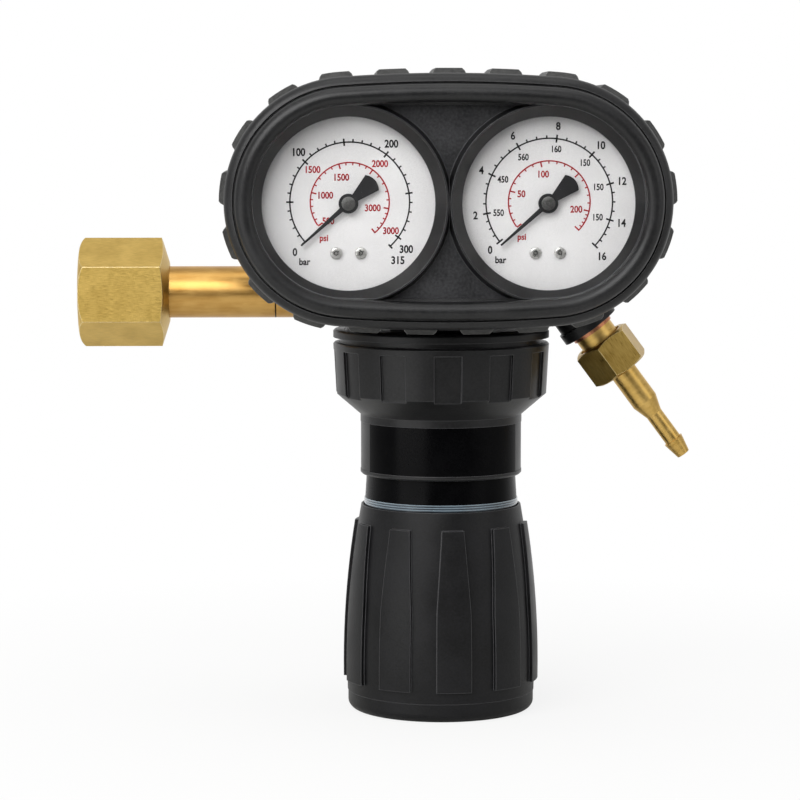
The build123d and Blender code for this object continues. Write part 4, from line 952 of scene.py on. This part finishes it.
# Room light
# White behind and beside the object, dim on the camera's side, and plain white to the camera.
# Metal and glass show the white background where it stands behind them.
world = bpy.data.worlds.new("Studio")
bpy.context.scene.world = world
world.use_nodes = True
tree = world.node_tree
tree.nodes.clear()
direction = add(tree, "SeparateXYZ", {"Vector": add(tree, "TexCoord").outputs["Generated"]})
sideways = add(tree, "MapRange", {
    "Value": direction.outputs["Y"], "From Min": -0.85, "From Max": -0.3, "To Min": 0.0, "To Max": 0.55,
}, interpolation_type="SMOOTHSTEP")
behind_all = add(tree, "MapRange", {
    "Value": direction.outputs["Y"], "From Min": 0.2, "From Max": 0.95,
}, interpolation_type="SMOOTHSTEP")
upward = add(tree, "MapRange", {
    "Value": direction.outputs["Z"], "From Min": 0.0, "From Max": 0.3, "To Min": 0.06, "To Max": 0.6,
}, interpolation_type="SMOOTHSTEP")
brightness = add(tree, "Math", {
    0: sideways.outputs["Result"], 1: upward.outputs["Result"],
}, operation="MAXIMUM")
sky = add(tree, "Background", {"Color": (1, 1, 1, 1), "Strength": brightness.outputs[0]})
plain = add(tree, "Background", {"Color": (1, 1, 1, 1), "Strength": 1.0})
sky_mix = add(tree, "MixShader", {
    "Fac": white_seen(tree, behind_all.outputs["Result"]),
    1: sky.outputs["Background"], 2: plain.outputs["Background"],
})
add(tree, "OutputWorld", {"Surface": sky_mix.outputs["Shader"]})

# Lamps
# A large soft box high on the left, a small one on the right, one over the top and a low strip
# on the left that stands in for the light thrown back by a white table.
aim = ((cad_box[0][0] + cad_box[1][0]) / 2, 0, (cad_box[0][2] + cad_box[1][2]) / 2)
for name, place, width, height, power in (
    ("key", (-0.36, -0.91, 0.66), 1.0, 0.8, 12.4),
    ("right fill", (0.95, -0.55, 0.2), 0.5, 0.6, 0.8),
    ("top", (0.1, -0.15, 0.9), 0.7, 0.5, 1.6),
    ("low left", (-0.5, -0.6, -0.09), 0.7, 0.09, 1.0),
):
    lamp_data = bpy.data.lights.new(name, "AREA")
    lamp_data.shape = "RECTANGLE"
    lamp_data.size = width
    lamp_data.size_y = height
    lamp_data.energy = power
    lamp = bpy.data.objects.new(name, lamp_data)
    bpy.context.scene.collection.objects.link(lamp)
    lamp.location = place
    reach = [a - p for a, p in zip(aim, place)]
    pan = math.atan2(reach[1], reach[0]) - math.radians(90)
    lift = math.atan2(math.hypot(reach[0], reach[1]), -reach[2])
    lamp.rotation_euler = (lift, 0, pan)

# Camera
# At a metre, a little left of the bonnet's axis and looking down by five degrees.
bonnet_low, bonnet_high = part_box("bonnet")
axis_x = (bonnet_low[0] + bonnet_high[0]) / 2
camera_distance = 1.007
camera_height = 0.0572
camera_side = math.radians(2.7)
pitch_degrees = 5.36
yaw_degrees = -1.9
camera_data = bpy.data.cameras.new("camera")
camera_data.sensor_width = 36.0
camera_data.lens = 132.75
camera_data.clip_start = 0.05
camera_data.clip_end = 50.0
camera = bpy.data.objects.new("camera", camera_data)
bpy.context.scene.collection.objects.link(camera)
camera.location = (
    axis_x - camera_distance * math.sin(camera_side),
    -camera_distance * math.cos(camera_side),
    camera_height,
)
camera.rotation_euler = (math.radians(90 - pitch_degrees), 0, math.radians(yaw_degrees))
bpy.context.scene.camera = camera
bpy.context.scene.view_settings.view_transform = "Standard"
